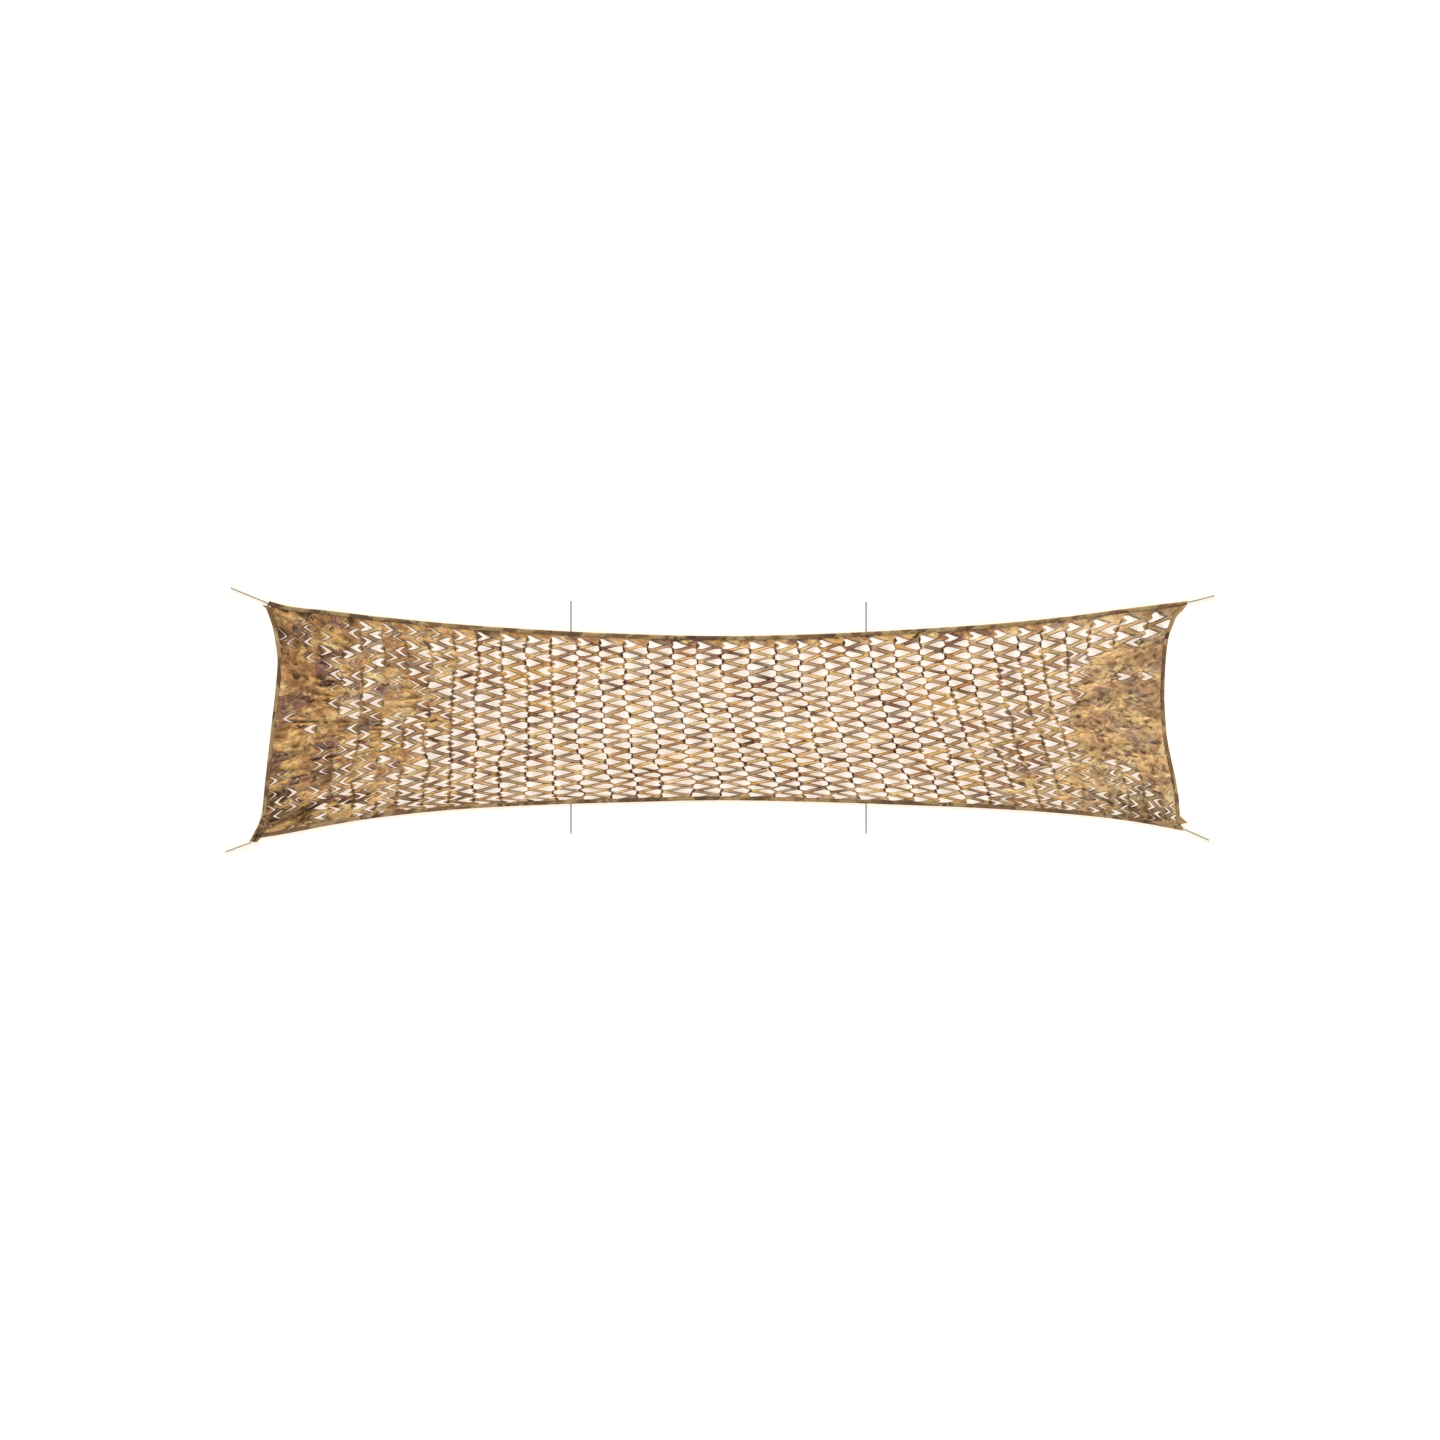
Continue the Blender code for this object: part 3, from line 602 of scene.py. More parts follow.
def weave_group():
    """Shader group: the height of a plain weave, warp over weft."""
    sockets = [("Place", "Vector"), ("Thread", "Float")]
    tree, given, out = node_group("Plain Weave", sockets, ("Height", "Float"))
    turned = scaled(tree, given["Place"], calc(tree, "DIVIDE", math.pi, given["Thread"]))
    parts = node(tree, "ShaderNodeSeparateXYZ", {0: turned}).outputs
    waves = [calc(tree, "SINE", parts[axis]) for axis in ("X", "Y")]
    tree.links.new(calc(tree, "MULTIPLY", *waves), out)
    return tree


def new_material(name, roughness, sheen=0.0):
    """A material with its Principled shader, cleared for its own nodes."""
    material = bpy.data.materials.new(name)
    material.use_nodes = True
    shader = material.node_tree.nodes["Principled BSDF"]
    shader.inputs["Roughness"].default_value = roughness
    shader.inputs["Specular IOR Level"].default_value = 0.10
    shader.inputs["Sheen Weight"].default_value = sheen
    return material, material.node_tree, shader


def printed_cloth(name, uv_map, prints, dyes):
    """A material of printed cloth: itself, its nodes, its shader, its coordinates and its print."""
    material, tree, shader = new_material(name, 0.85)
    flat = output(tree, "ShaderNodeUVMap", uv_map=uv_map)
    return material, tree, shader, flat, shared(tree, prints, Place=flat, **dyes)


def finish_cloth(tree, shader, flat, colour, weaves, relief):
    """Joins cloth's colour to its shader, and its relief with the weave on top."""
    weave = shared(tree, weaves, Place=flat, Thread=THREAD_PITCH)
    tree.links.new(colour, shader.inputs["Base Color"])
    tree.links.new(bump(tree, weave, 0.3, 0.0002, relief), shader.inputs["Normal"])


def add_crease_shading(tree, creases, flat, colour):
    """Paints shade into the bottoms of small creases in the bunched cloth and paints highlights on
    their crests.
    """
    bunched = carried(tree, "bunched")
    ridge = shared(tree, creases, Place=flat, Per_Metre=23.0)
    painted_shade = ranged(tree, ridge, 0.60, 0.10, 0.0, 0.70)
    crest_highlight = ranged(tree, ridge, 0.80, 1.0, 0.0, 0.40)
    for mask, tone in ((painted_shade, CREASE_SHADE_TONE), (crest_highlight, CREST_HIGHLIGHT_TONE)):
        colour = mix_colours(tree, calc(tree, "MULTIPLY", mask, bunched), colour, tone)
    return colour


def cloth_material(prints, creases, weaves):
    """The printed cloth, with painted shade along the edges of its cuts, at leaf roots, in creases
    and in shady corners, painted highlights on crease crests, and painted light that makes
    stretched arms and the right end paler.
    """
    material, tree, shader, flat, colour = printed_cloth(
        "camouflage cloth", "flat cloth", prints, CLOTH_DYES
    )
    # Painted light: stretched arms and the right end are painted paler
    paler = calc(tree, "MULTIPLY", carried(tree, "painted_light"), PAINTED_LIGHT_SHARE)
    colour = mix_colours(tree, paler, colour, PAINTED_LIGHT_TONE)
    # Painted shade at rolled leaf roots, in crease bottoms and in shady corners
    deep_shade = calc(tree, "MULTIPLY", carried(tree, "painted_shade"), 0.95)
    colour = mix_colours(tree, deep_shade, colour, PAINTED_SHADE_TONE)
    colour = add_crease_shading(tree, creases, flat, colour)
    # Painted shade along the edges of the cuts
    edge_shade = calc(tree, "POWER", carried(tree, "cut edge"), 1.3)
    colour = mix_colours(tree, calc(tree, "MULTIPLY", edge_shade, 0.90), colour, EDGE_SHADE_TONE)
    crease = shared(tree, creases, Place=flat, Per_Metre=34.0)
    finish_cloth(tree, shader, flat, colour, weaves, bump(tree, crease, 0.7, 0.0045))
    return material


def tape_material(prints, weaves):
    """The same print on the folded tape, greyer, with painted shade between its pleats, and
    puckered along its seam.
    """
    material, tree, shader, flat, colour = printed_cloth(
        "folded edge tape", "tape", prints, TAPE_DYES
    )
    # Painted shade between the pleats
    colour = mix_colours(tree, carried(tree, "painted_shade"), colour, TAPE_PAINTED_SHADE_TONE)
    along = node(tree, "ShaderNodeSeparateXYZ", {0: flat}).outputs["X"]
    pucker = calc(tree, "SINE", calc(tree, "MULTIPLY", along, 2 * math.pi / PUCKER_LENGTH))
    finish_cloth(tree, shader, flat, colour, weaves, bump(tree, pucker, 0.25, 0.0006))
    return material


def yarn_material(name, colour, dark, scale):
    """Spun yarn: streaks of two tones along Object coordinates."""
    material, tree, shader = new_material(name, 0.8, sheen=0.2)
    place = node(tree, "ShaderNodeTexCoord").outputs["Object"]
    fibres = noise(tree, place, scale, 5.0, 0.65)
    tree.links.new(mix_colours(tree, fibres, colour, dark), shader.inputs["Base Color"])
    tree.links.new(bump(tree, fibres, 0.5, 0.0004), shader.inputs["Normal"])
    return material


# ---- helpers for meshes


def new_mesh(name, points, faces=(), edges=()):
    mesh = bpy.data.meshes.new(name)
    mesh.from_pydata([tuple(p) for p in points], edges, faces)
    mesh.update()
    return mesh


def line_mesh(name, points):
    """A mesh that is only a line, for a Geometry Nodes tree to follow."""
    return new_mesh(name, points, edges=[(k, k + 1) for k in range(len(points) - 1)])


def write_attribute(mesh, name, kind, values):
    attribute = mesh.attributes.new(name, kind, "POINT")
    key = "vector" if kind == "FLOAT_VECTOR" else "value"
    attribute.data.foreach_set(key, np.asarray(values, np.float32).ravel())


def read_attribute(mesh, name, width):
    found = np.empty(len(mesh.vertices) * width, np.float32)
    key = "vector" if width == 3 else "value"
    mesh.attributes[name].data.foreach_get(key, found)
    return found.reshape(-1, width) if width > 1 else found


def write_uv(mesh, name, at_vertices):
    """A UV map from one (u, v) for each vertex."""
    layer = mesh.uv_layers.new(name=name)
    corners = np.empty(len(mesh.loops), np.int32)
    mesh.loops.foreach_get("vertex_index", corners)
    layer.data.foreach_set("uv", at_vertices[corners].astype(np.float32).ravel())


# ---- the camera and the cords


def make_camera():
    data = bpy.data.cameras.new("camera above")
    data.lens = CAMERA_LENS
    data.sensor_width = SENSOR_WIDTH
    data.clip_end = 100.0
    camera = new_object("camera above", data)
    camera.location = CAMERA_PLACE
    bpy.context.scene.camera = camera


def cord_route(root, end):
    """A cord's straight run, from just clear of the tape to its free end."""
    x, y = root
    if y is None:
        y = float(top_edge(x)) + 2 * GAP if end[1] > 0 else float(bottom_edge(x)) - 2 * GAP
    shares = [k / (CORD_POINTS - 1) for k in range(CORD_POINTS)]
    return [(x + (end[0] - x) * t, y + (end[1] - y) * t, CORD_HEIGHT) for t in shares]


def make_cord(name, route, tree, yarn):
    laid = {**CORD_LAY, "Radius": CORD_DIAMETER / 2 * YARN_SHARE, "Yarn": yarn}
    obj = grow(name + "_yarn", line_mesh(name, route), tree, laid)
    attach(obj, "root")
    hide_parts(name)


# ---- the net's cloth


def shut_flank():
    """A shut cut's half height at five distances from the seam's middle, like OPEN_FLANK."""
    distances = (SEAM_HALF, 0.10, 0.25, 1 - TIP_SHUT, TIP_SHUT)
    shares = [(d - SEAM_HALF) / (TIP_SHUT - SEAM_HALF) for d in distances]
    return [(d, ROOT_HALF * (1 - s**BULGE_SHUT)) for d, s in zip(distances, shares)]


def arm_points(flank):
    """The grid of points of one slanted arm, from its left neck to its right one."""
    columns = [(d, 0.0, 0.5 - half) for d, half in flank[:-1]]
    columns += [(1 - d, half, 0.5) for d, half in reversed(flank[:-1])]
    return [[(a, low), (a, (low + high) / 2), (a, high)] for a, low, high in columns]


class CellMaker:
    """Collects the points and faces of one cell, with what each point needs to be shaped."""

    def __init__(self):
        self.places, self.faces, self.index = [], [], {}
        self.facts = {"opening": [], "own cut": [], "leaf": [], "cut edge": []}

    def point(self, a, b, level=0.0, opening=(0, 0), cut=None, leaf=(0, 0, 0), edge=0):
        """A point in the shut pattern; the same point asked for twice is shared."""
        key = (round(a, 5), round(b, 5), level)
        if key not in self.index:
            self.index[key] = len(self.places)
            self.places.append((a, b, level))
            own = (0, 0, 0) if cut is None else (cut[0] - a, cut[1] - b, 1.0)
            facts = ((*opening, 0.0), own, leaf, float(edge))
            for found, fact in zip(self.facts.values(), facts):
                found.append(fact)
        return self.index[key]

    def strip(self, first, second, flip=False):
        """Quads between two lines of points."""
        for k in range(len(first) - 1):
            kept = list(dict.fromkeys([first[k], second[k], second[k + 1], first[k + 1]]))
            self.faces.append(kept[::-1] if flip else kept)


def add_arm(cell, mirrored):
    """One slanted arm. The mirrored one is the same upside down, in the cell's upper half."""
    columns = []
    for j, pairs in enumerate(zip(arm_points(shut_flank()), arm_points(OPEN_FLANK))):
        column = []
        for k, ((a, b), (a_open, b_open)) in enumerate(zip(*pairs)):
            on_left_cut = k == 0 and j >= 3
            on_right_cut = k == 2 and j <= 4
            cut = LEFT_CUT if on_left_cut else RIGHT_CUT if on_right_cut else None
            if mirrored:
                b, b_open = 1 - b, 1 - b_open
                cut = (cut[0], 1 - cut[1]) if cut else None
            # Points on a cut's edge carry painted shade, less at the ends of a leaf's root
            edge = (ROOT_EDGE_SHADE if j in (0, 7) else 1.0) if cut else 0.0
            leaf = (0, 1.0 - k, 0)  # +1 beside cuts that point left, -1 beside the others
            opening = (a_open - a, b_open - b)
            column.append(cell.point(a, b, opening=opening, cut=cut, leaf=leaf, edge=edge))
        columns.append(column)
    for near, far in zip(columns, columns[1:]):
        cell.strip(near, far, flip=mirrored)


def seam_heights():
    """Heights of the points on a seam's left and right edge, from one row to the next."""
    root, neck = ROOT_HALF, (0.5 - ROOT_HALF) / 2
    right = [0, neck, 2 * neck, 0.5 - root / 2, 0.5]
    left = [0, root / 2, root, root + neck, 0.5]
    return (line + [1 - b for b in reversed(line[:-1])] for line in (left, right))


def seam_point(cell, a, b, centre_b, cut_a):
    """A point on a seam's edge. As its cut opens, a leaf's root draws in and the necks widen."""
    side = math.copysign(1.0, cut_a - a)
    open_distance, open_half = OPEN_FLANK[0]
    shift = side * (open_distance - SEAM_HALF)
    off = b - centre_b
    if abs(off) > ROOT_HALF * 1.001:
        neck_off = off - math.copysign(0.5, off)
        widened = neck_off * ((0.5 - open_half) / (0.5 - ROOT_HALF) - 1)
        return cell.point(a, b, opening=(shift, widened))
    at_end = abs(off) > ROOT_HALF * 0.999
    opening = (shift, off * (open_half / ROOT_HALF - 1))
    leaf = (0, -side * at_end, 0)
    return cell.point(a, b, 0.0, opening, (cut_a, centre_b), leaf, ROOT_EDGE_SHADE * at_end)


def add_seam(cell):
    """The uncut strip between this column's right-hand leaves and the next column's left ones."""
    left, right = seam_heights()
    near = [seam_point(cell, 1 - SEAM_HALF, b, float(b > 0.5), LEFT_CUT[0]) for b in left]
    far = [seam_point(cell, 1 + SEAM_HALF, b, 0.5, 1 + RIGHT_CUT[0]) for b in right]
    cell.strip(near, far)


def add_leaf(cell, root_a, centre_b, side, laterals, cut):
    """A leaf, or half of one, that grows from the seam at root_a and points to the side."""
    near = [seam_point(cell, root_a, centre_b + t * ROOT_HALF, centre_b, cut[0]) for t in laterals]
    for step in range(1, LEAF_ROWS + 1):
        share = step / LEAF_ROWS
        a = root_a + side * (TIP_SHUT - SEAM_HALF) * LEAF_SPREAD * share
        half = ROOT_HALF * LEAF_SPREAD * (1 - share**BULGE_SHUT)
        far = []
        for t in laterals:
            at_edge = abs(t) == 1 or step == LEAF_ROWS
            t_here = t if step < LEAF_ROWS else 0.0
            place = (a, centre_b + t_here * half, LEAF_LEVEL)
            far.append(cell.point(*place, cut=cut, leaf=(share, t_here, side), edge=at_edge))
        cell.strip(near, far, flip=side < 0)
        near = far


def leaf_cut_cell():
    """One cell of the pattern as a mesh: two arms, a seam, one whole leaf and two halves."""
    cell = CellMaker()
    for mirrored in (False, True):
        add_arm(cell, mirrored)
    add_seam(cell)
    whole = (-1, -0.5, 0, 0.5, 1)
    add_leaf(cell, SEAM_HALF, 0.5, 1, whole, RIGHT_CUT)
    add_leaf(cell, 1 - SEAM_HALF, 0.0, -1, whole[2:], LEFT_CUT)
    add_leaf(cell, 1 - SEAM_HALF, 1.0, -1, whole[:3], (LEFT_CUT[0], 1.0))
    mesh = new_mesh("leaf cut cell", cell.places, cell.faces)
    for name, values in cell.facts.items():
        write_attribute(mesh, name, "FLOAT" if name == "cut edge" else "FLOAT_VECTOR", values)
    return mesh


class Pattern:
    """The points of the joined cells, read back from their mesh, with what shapes each of them."""

    def __init__(self, mesh):
        flat = np.empty(len(mesh.vertices) * 3, np.float32)
        mesh.vertices.foreach_get("co", flat)
        self.u, self.v, level = flat.reshape(-1, 3).astype(float).T
        self.opening = read_attribute(mesh, "opening", 3)
        own_cut = read_attribute(mesh, "own cut", 3)
        leaf = read_attribute(mesh, "leaf", 3)
        self.in_leaf = level > LEAF_LEVEL / 2
        self.has_cut = own_cut[:, 2] > 0.5
        self.cut_u = np.where(self.has_cut, self.u + own_cut[:, 0], self.u)
        self.cut_v = np.where(self.has_cut, self.v + own_cut[:, 1], self.v)
        self.along = leaf[:, 0]  # from a leaf's root, 0, to its tip, 1
        self.across = leaf[:, 1]  # from one edge of a leaf or arm, -1, to the other, 1
        seam = np.round(self.u)
        self.off_seam = np.abs(self.u - seam)
        self.on_seam = ~self.in_leaf & (self.off_seam < SEAM_HALF * 1.01)
        # Which way a leaf points, or on which side of the seam's middle a point lies
        self.side = np.where(self.in_leaf, leaf[:, 2], np.sign(self.u - seam))
        self.root_u = np.round(self.cut_u - self.side * 0.25) + self.side * SEAM_HALF
        self.root_u = np.where(self.in_leaf, self.root_u, self.u)
        self.measure_cuts()

    def measure_cuts(self):
        """How far each point's own cut is open; all the points of one cut share one amount."""
        x, y = on_net(self.cut_u, self.cut_v)
        self.open_here = openness(x, y)
        chance = np.random.default_rng(11).random((COLUMNS * 4 + 8, ROWS * 2 + 4, 3))
        cut = np.round(self.cut_u * 4).astype(int), np.round(self.cut_v * 2).astype(int)
        self.luck = np.where(self.has_cut[:, None], chance[cut], 0.5)
        uneven = OPENING_WAVE * ripple(7, self.cut_u * 0.7, self.cut_v * 0.6)
        uneven += OPENING_LUCK * (self.luck[:, 0] - 0.5) * (2.6 - 1.6 * self.open_here)
        amount = self.open_here + uneven * smoothstep(self.open_here / 0.25)
        amount *= 1 - smoothstep((self.cut_v - ROWS + TOP_SHUT_ROWS) / TOP_SHUT_ROWS)
        amount = np.maximum(amount, LONE_OPEN * spots(LONE_HOLES, x, y))
        self.amount = np.clip(amount, 0.0, 1.1)
        # Leaves picked to roll up; they also get painted shade at their roots
        spread = 0.3 * ripple(9, np.round(self.root_u) * 2.3, self.cut_v * 0.6)
        chosen = self.luck[:, 1] + spread - DARK_ROOTS[0] - DARK_ROOTS[1] * self.amount
        self.dark = smoothstep(chosen / 0.12) * smoothstep(self.amount / 0.5)


def column_share(t):
    """Where a column lies along the net; the columns are narrower at both ends."""
    eased = t - END_CROWDING * ((2 * t - 1) ** 3 + 1) / 6
    return eased / (1 - END_CROWDING / 3)


def row_share(t, along):
    """Where a row lies across the net; the rows are narrower lower down, most at the left."""
    at_left = 1 - smoothstep((along - LEFT_PART[0]) / LEFT_PART[1])
    crowding = LOWER_CROWDING[1] + (LOWER_CROWDING[0] - LOWER_CROWDING[1]) * at_left
    crowded = crowding * (1 - (1 - t) ** CROWDING_POWER) / CROWDING_POWER
    eased = t - ROW_THINNING * t * (1 - t) / 2 - crowded
    return eased / (1 - crowding / CROWDING_POWER)


seam_lean = smooth_curve(SEAM_LEANS)


def on_net(u, v):
    """The place on the stretched net of points of the pattern."""
    along = column_share(u / COLUMNS)
    up = row_share(v / ROWS, along) * (1 - TOP_MARGIN)
    up += TOP_MARGIN * smoothstep((v - ROWS + MARGIN_ROWS) / MARGIN_ROWS)
    y = bottom_edge(0.0) + (top_edge(0.0) - bottom_edge(0.0)) * up
    bowed = LEAN_BOWED * np.sin(math.pi * (0.5 - up)) + (1 - LEAN_BOWED) * (1 - 2 * up)
    lean = seam_lean(np.clip(along, 0, 1)) * bowed
    for _ in range(4):
        low, high = left_line(y, CLOTH_INSET), right_line(y, CLOTH_INSET)
        x = low + (high - low) * along + lean
        y = bottom_line(x, CLOTH_INSET) * (1 - up) + top_line(x, CLOTH_INSET) * up
    return np.where(y > TOP_LEFT_LIMIT[1], np.maximum(x, TOP_LEFT_LIMIT[0]), x), y


def openness(x, y):
    """How far the cuts are pulled open, from 0 in a bunched patch to 1."""
    found = np.ones_like(x)
    for at_x, at_y, half_length, half_height, edge, least in SHUT_PATCHES:
        away = np.hypot((x - at_x) / half_length, (y - at_y) / half_height)
        found = np.minimum(found, least + (1 - least) * smoothstep((away - 1) / edge))
    return found


def spots(places, x, y):
    """1 at the given round places, falling off to 0 around them."""
    found = np.zeros_like(x)
    for at_x, at_y, radius in places:
        away = np.hypot(x - at_x, y - at_y) / radius
        found = np.maximum(found, np.exp(-(away**4)))
    return found


def inward_distance(x, y):
    """The distance from the nearest tape's fold, roughly."""
    from_long_side = np.minimum(top_edge(x) - y, y - bottom_edge(x))
    return np.minimum(from_long_side, np.minimum(x - left_edge(y), right_edge(y) - x))


def fold_height(x, y):
    """The height of the soft ridges in the bunched cloth."""
    total = np.zeros_like(x)
    for x0, y0, x1, y1, height, width in FOLDS:
        run_x, run_y = x1 - x0, y1 - y0
        share = ((x - x0) * run_x + (y - y0) * run_y) / (run_x**2 + run_y**2)
        share = np.clip(share, 0, 1)
        away = np.hypot(x - x0 - run_x * share, y - y0 - run_y * share)
        total += height * np.exp(-((away / width) ** 2))
    return total


def crumple_height(x, y):
    """Small sharp-crested creases that run inward from the short sides."""
    inward = np.clip(HALF_LENGTH - np.abs(x), 0, 0.4)
    across = y / (1 - CREASE_SPREAD * inward)
    shorter = np.where(x < 0, *CREASE_SHORTNESS)
    total = 0.0
    for seed, in_x, in_y, share in CREASES:
        ridges = 1 - np.abs(ripple(seed, x * in_x * shorter + 31, across * in_y))
        total += share * ridges**2
    return CRUMPLE * total


def plan_places(p):
    """Where the pattern's points lie on the stretched net, seen from above, without the leaves."""
    moved = np.where(p.in_leaf, 0.0, p.amount)
    pull = np.maximum(1 - (p.off_seam - SEAM_HALF) / SWAY_REACH, 0)
    pull = np.where(p.in_leaf, 1.0, pull) * np.minimum(1.4 * p.amount, 1)
    edges = smoothstep(np.minimum(p.u, COLUMNS - p.u) / 1.5)
    ends = smoothstep(np.minimum(p.v, ROWS - p.v) / 1.5)
    wave_u = waves(WAVES_ALONG, p.root_u, p.v)
    wave_v = waves(WAVES_ACROSS, p.u, p.v)
    squeeze = LEAF_SHRINK * smoothstep(p.amount / CURL_START)
    gather = GATHER + DARK_GATHER * p.dark
    squeeze += (gather - LEAF_SHRINK) * smoothstep((p.amount - CURL_START) / NARROW_RUN)
    squeeze *= np.minimum(p.along * 3, 1)
    narrowed = np.where(p.in_leaf, (p.cut_v - p.v) * squeeze, 0.0)
    u = p.root_u + p.opening[:, 0] * moved + wave_u * edges
    v = p.v + p.opening[:, 1] * moved
    bend = np.cos(2 * math.pi * np.where(p.in_leaf, p.cut_v, v))
    u += SEAM_SWAY * bend * pull * ends
    return u, v + narrowed + wave_v * ends


def leaf_reach(p, x, y, u, v):
    """How far each leaf's points lie from its root: along the net in x and y, and upwards."""
    ahead_x, ahead_y = on_net(u + p.side * 0.5, v)
    toward = np.stack([ahead_x - x, ahead_y - y], 1)
    half_column = np.maximum(np.linalg.norm(toward, axis=1), 1e-9)
    toward /= half_column[:, None]
    curl = (p.amount - CURL_START) / (CURL_FULL - CURL_START)
    curl += CURL_LUCK * (p.luck[:, 1] - 0.5)
    least_curl = (0.04 + 0.18 * p.luck[:, 1] ** 2) * smoothstep(p.amount / 0.3)
    curl = np.clip(curl, 0.02 + least_curl, 1.05)
    flat_length = 2 * (TIP_SHUT - SEAM_HALF) * LEAF_SPREAD * half_column
    flat_length *= 1 - LEAF_SHRINK * smoothstep(p.amount / CURL_START)
    open_length = LEAF_OPEN * (LENGTH_RANGE[0] + LENGTH_RANGE[1] * p.luck[:, 2])
    length = flat_length + (open_length - flat_length) * np.clip(curl, 0, 1)
    lean = (LEAF_LEAN[0] + LEAN_LUCK * (p.luck[:, 2] - 0.5) + DARK_LEAN * p.dark) * curl
    turn = LEAF_LEAN[1] * curl
    reach = length * (np.sin(lean + turn * p.along) - np.sin(lean)) / turn
    stand = length * (np.cos(lean) - np.cos(lean + turn * p.along)) / turn
    reach = np.where(p.in_leaf, reach, 0.0)
    stand = np.where(p.in_leaf, stand + LEAF_LIFT * (1 - np.clip(curl, 0, 1)), 0.0)
    return toward[:, 0] * reach, toward[:, 1] * reach, stand


def cloth_height(p, x, y, stand):
    """The height of every point of the cloth's middle."""
    wave = 0.5 + 0.5 * p.side * np.cos(2 * math.pi * p.v)
    seam_rise = SEAM_BULGE * p.amount * (1 - wave)
    inner = np.sin(math.pi * np.clip((p.u % 1 - SEAM_HALF) / (1 - 2 * SEAM_HALF), 0, 1))
    twist = np.clip(0.25 + 1.2 * ripple(5, p.u * 2.1, p.v * 2.3), -1, 1)
    tilt = ARM_TILT * (1 + p.across * twist) / 2
    cup = ARM_CUP * (1 - p.across**2)
    pulled = 0.4 + 0.6 * np.clip(p.amount, 0, 1)
    arm_rise = pulled * inner * (tilt + cup) + seam_rise * (1 - inner)
    rise = np.where(p.in_leaf | p.on_seam, seam_rise, arm_rise)
    bunched = 1 - p.open_here
    relief = rise + stand + fold_height(x, y) + bunched * crumple_height(x, y)
    fade = smoothstep((inward_distance(x, y) - LEVEL_INSET) / RELIEF_FADE)
    level = TAPED_HEIGHT + (CLOTH_LOW - TAPED_HEIGHT) * fade
    return np.maximum(level + fade * soft_limit(relief), CLOTH_LOW)


def soft_limit(height):
    """Presses high parts together, so that none passes the relief's top."""
    start = RELIEF_FREE * RELIEF_TOP
    room = RELIEF_TOP - start
    return np.where(height > start, start + room * np.tanh((height - start) / room), height)


def shape_net(mesh):
    """Moves the points of the joined pattern to their places on the stretched net."""
    p = Pattern(mesh)
    u, v = plan_places(p)
    x, y = on_net(u, v)
    move_x, move_y, stand = leaf_reach(p, x, y, u, v)
    x, y = x + move_x, y + move_y
    z = cloth_height(p, x, y, stand)
    mesh.vertices.foreach_set("co", np.stack([x, y, z], 1).astype(np.float32).ravel())
    # Painted shade at rolled leaf roots, in crease bottoms and in shady corners
    write_attribute(mesh, "painted_shade", "FLOAT", painted_shade_amounts(p, x, y))
    # Strength of the painted crease shading and crest highlights
    bunched = (1 - p.open_here) * np.where(x < 0, *CREASE_SHARES)
    write_attribute(mesh, "bunched", "FLOAT", bunched)
    # Painted light: arms beside open cuts are painted paler, unevenly in patches, and so is the
    # right end
    painted_light = np.clip(PALE_GAIN * p.amount, 0, 1) * ~p.in_leaf
    patches = ripple(81, x / PALE_PATCH[0], y / PALE_PATCH[1])
    painted_light *= np.clip(PALE_MIDDLE + PALE_SWING * patches, 0, 1)
    painted_light += RIGHT_PAINTED_LIGHT * smoothstep((x - RIGHT_PART[0]) / RIGHT_PART[1])
    write_attribute(mesh, "painted_light", "FLOAT", np.minimum(painted_light, 1))
    # Painted shade along the edges of the cuts, stronger where they are open, uneven from cut to
    # cut
    edges = read_attribute(mesh, "cut edge", 1) * (0.2 + 0.8 * smoothstep(p.amount / 0.25))
    edges = np.minimum(edges * (0.55 + 0.9 * p.luck[:, 0]), 1)
    for name in ("opening", "own cut", "leaf", "cut edge"):
        mesh.attributes.remove(mesh.attributes[name])
    write_attribute(mesh, "cut edge", "FLOAT", edges)
    write_uv(mesh, "flat cloth", np.stack([p.u * FLAT_COLUMN, p.v * FLAT_ROW], 1))
    mesh.update()


def painted_shade_amounts(p, x, y):
    """Painted shade for each point: at the roots of rolled-up leaves by the seams, in crease
    bottoms and in shady corners.
    """
    rooted = np.exp(-((p.along / ROOT_SHADE) ** 2)) * (1 - p.across**4)
    rooted = np.maximum(rooted, 0.9 * smoothstep((p.amount - CURL_START) / NARROW_RUN))
    at_root = 1.5 - 1.5 * ((p.cut_v - p.v) / ROOT_HALF) ** 2
    at_root *= np.exp(-((p.off_seam / SEAM_SHADE) ** 2)) * p.has_cut
    painted_root_shade = p.dark * np.where(p.in_leaf, rooted, np.clip(at_root, 0, 1))
    low = np.clip(1.1 - crumple_height(x, y) / CRUMPLE, 0, 1)
    shade = SHADE * spots(SHADY_PLACES, x, y) * (0.45 + low)
    valleys = (1 - p.open_here) * low * np.where(x < 0, *VALLEY_SHADES) + shade
    return np.maximum(painted_root_shade, np.minimum(valleys, 1))


def make_net(cloth):
    """The whole cut panel: the cell repeated, shaped, and given the cloth's thickness."""
    pattern = {"Columns": COLUMNS, "Rows": ROWS, "Cloth": cloth}
    net = grow("net_cloth", leaf_cut_cell(), leaf_cut_tree(), pattern)
    shape_net(net.data)
    solid = net.modifiers.new("thickness", "SOLIDIFY")
    solid.thickness = CLOTH_THICK
    solid.offset = 0.0
    settle(net)
    net.data.shade_smooth()
    net.data.set_sharp_from_angle(angle=math.radians(SHARP_ANGLE))
    return net


# ---- the folded tapes

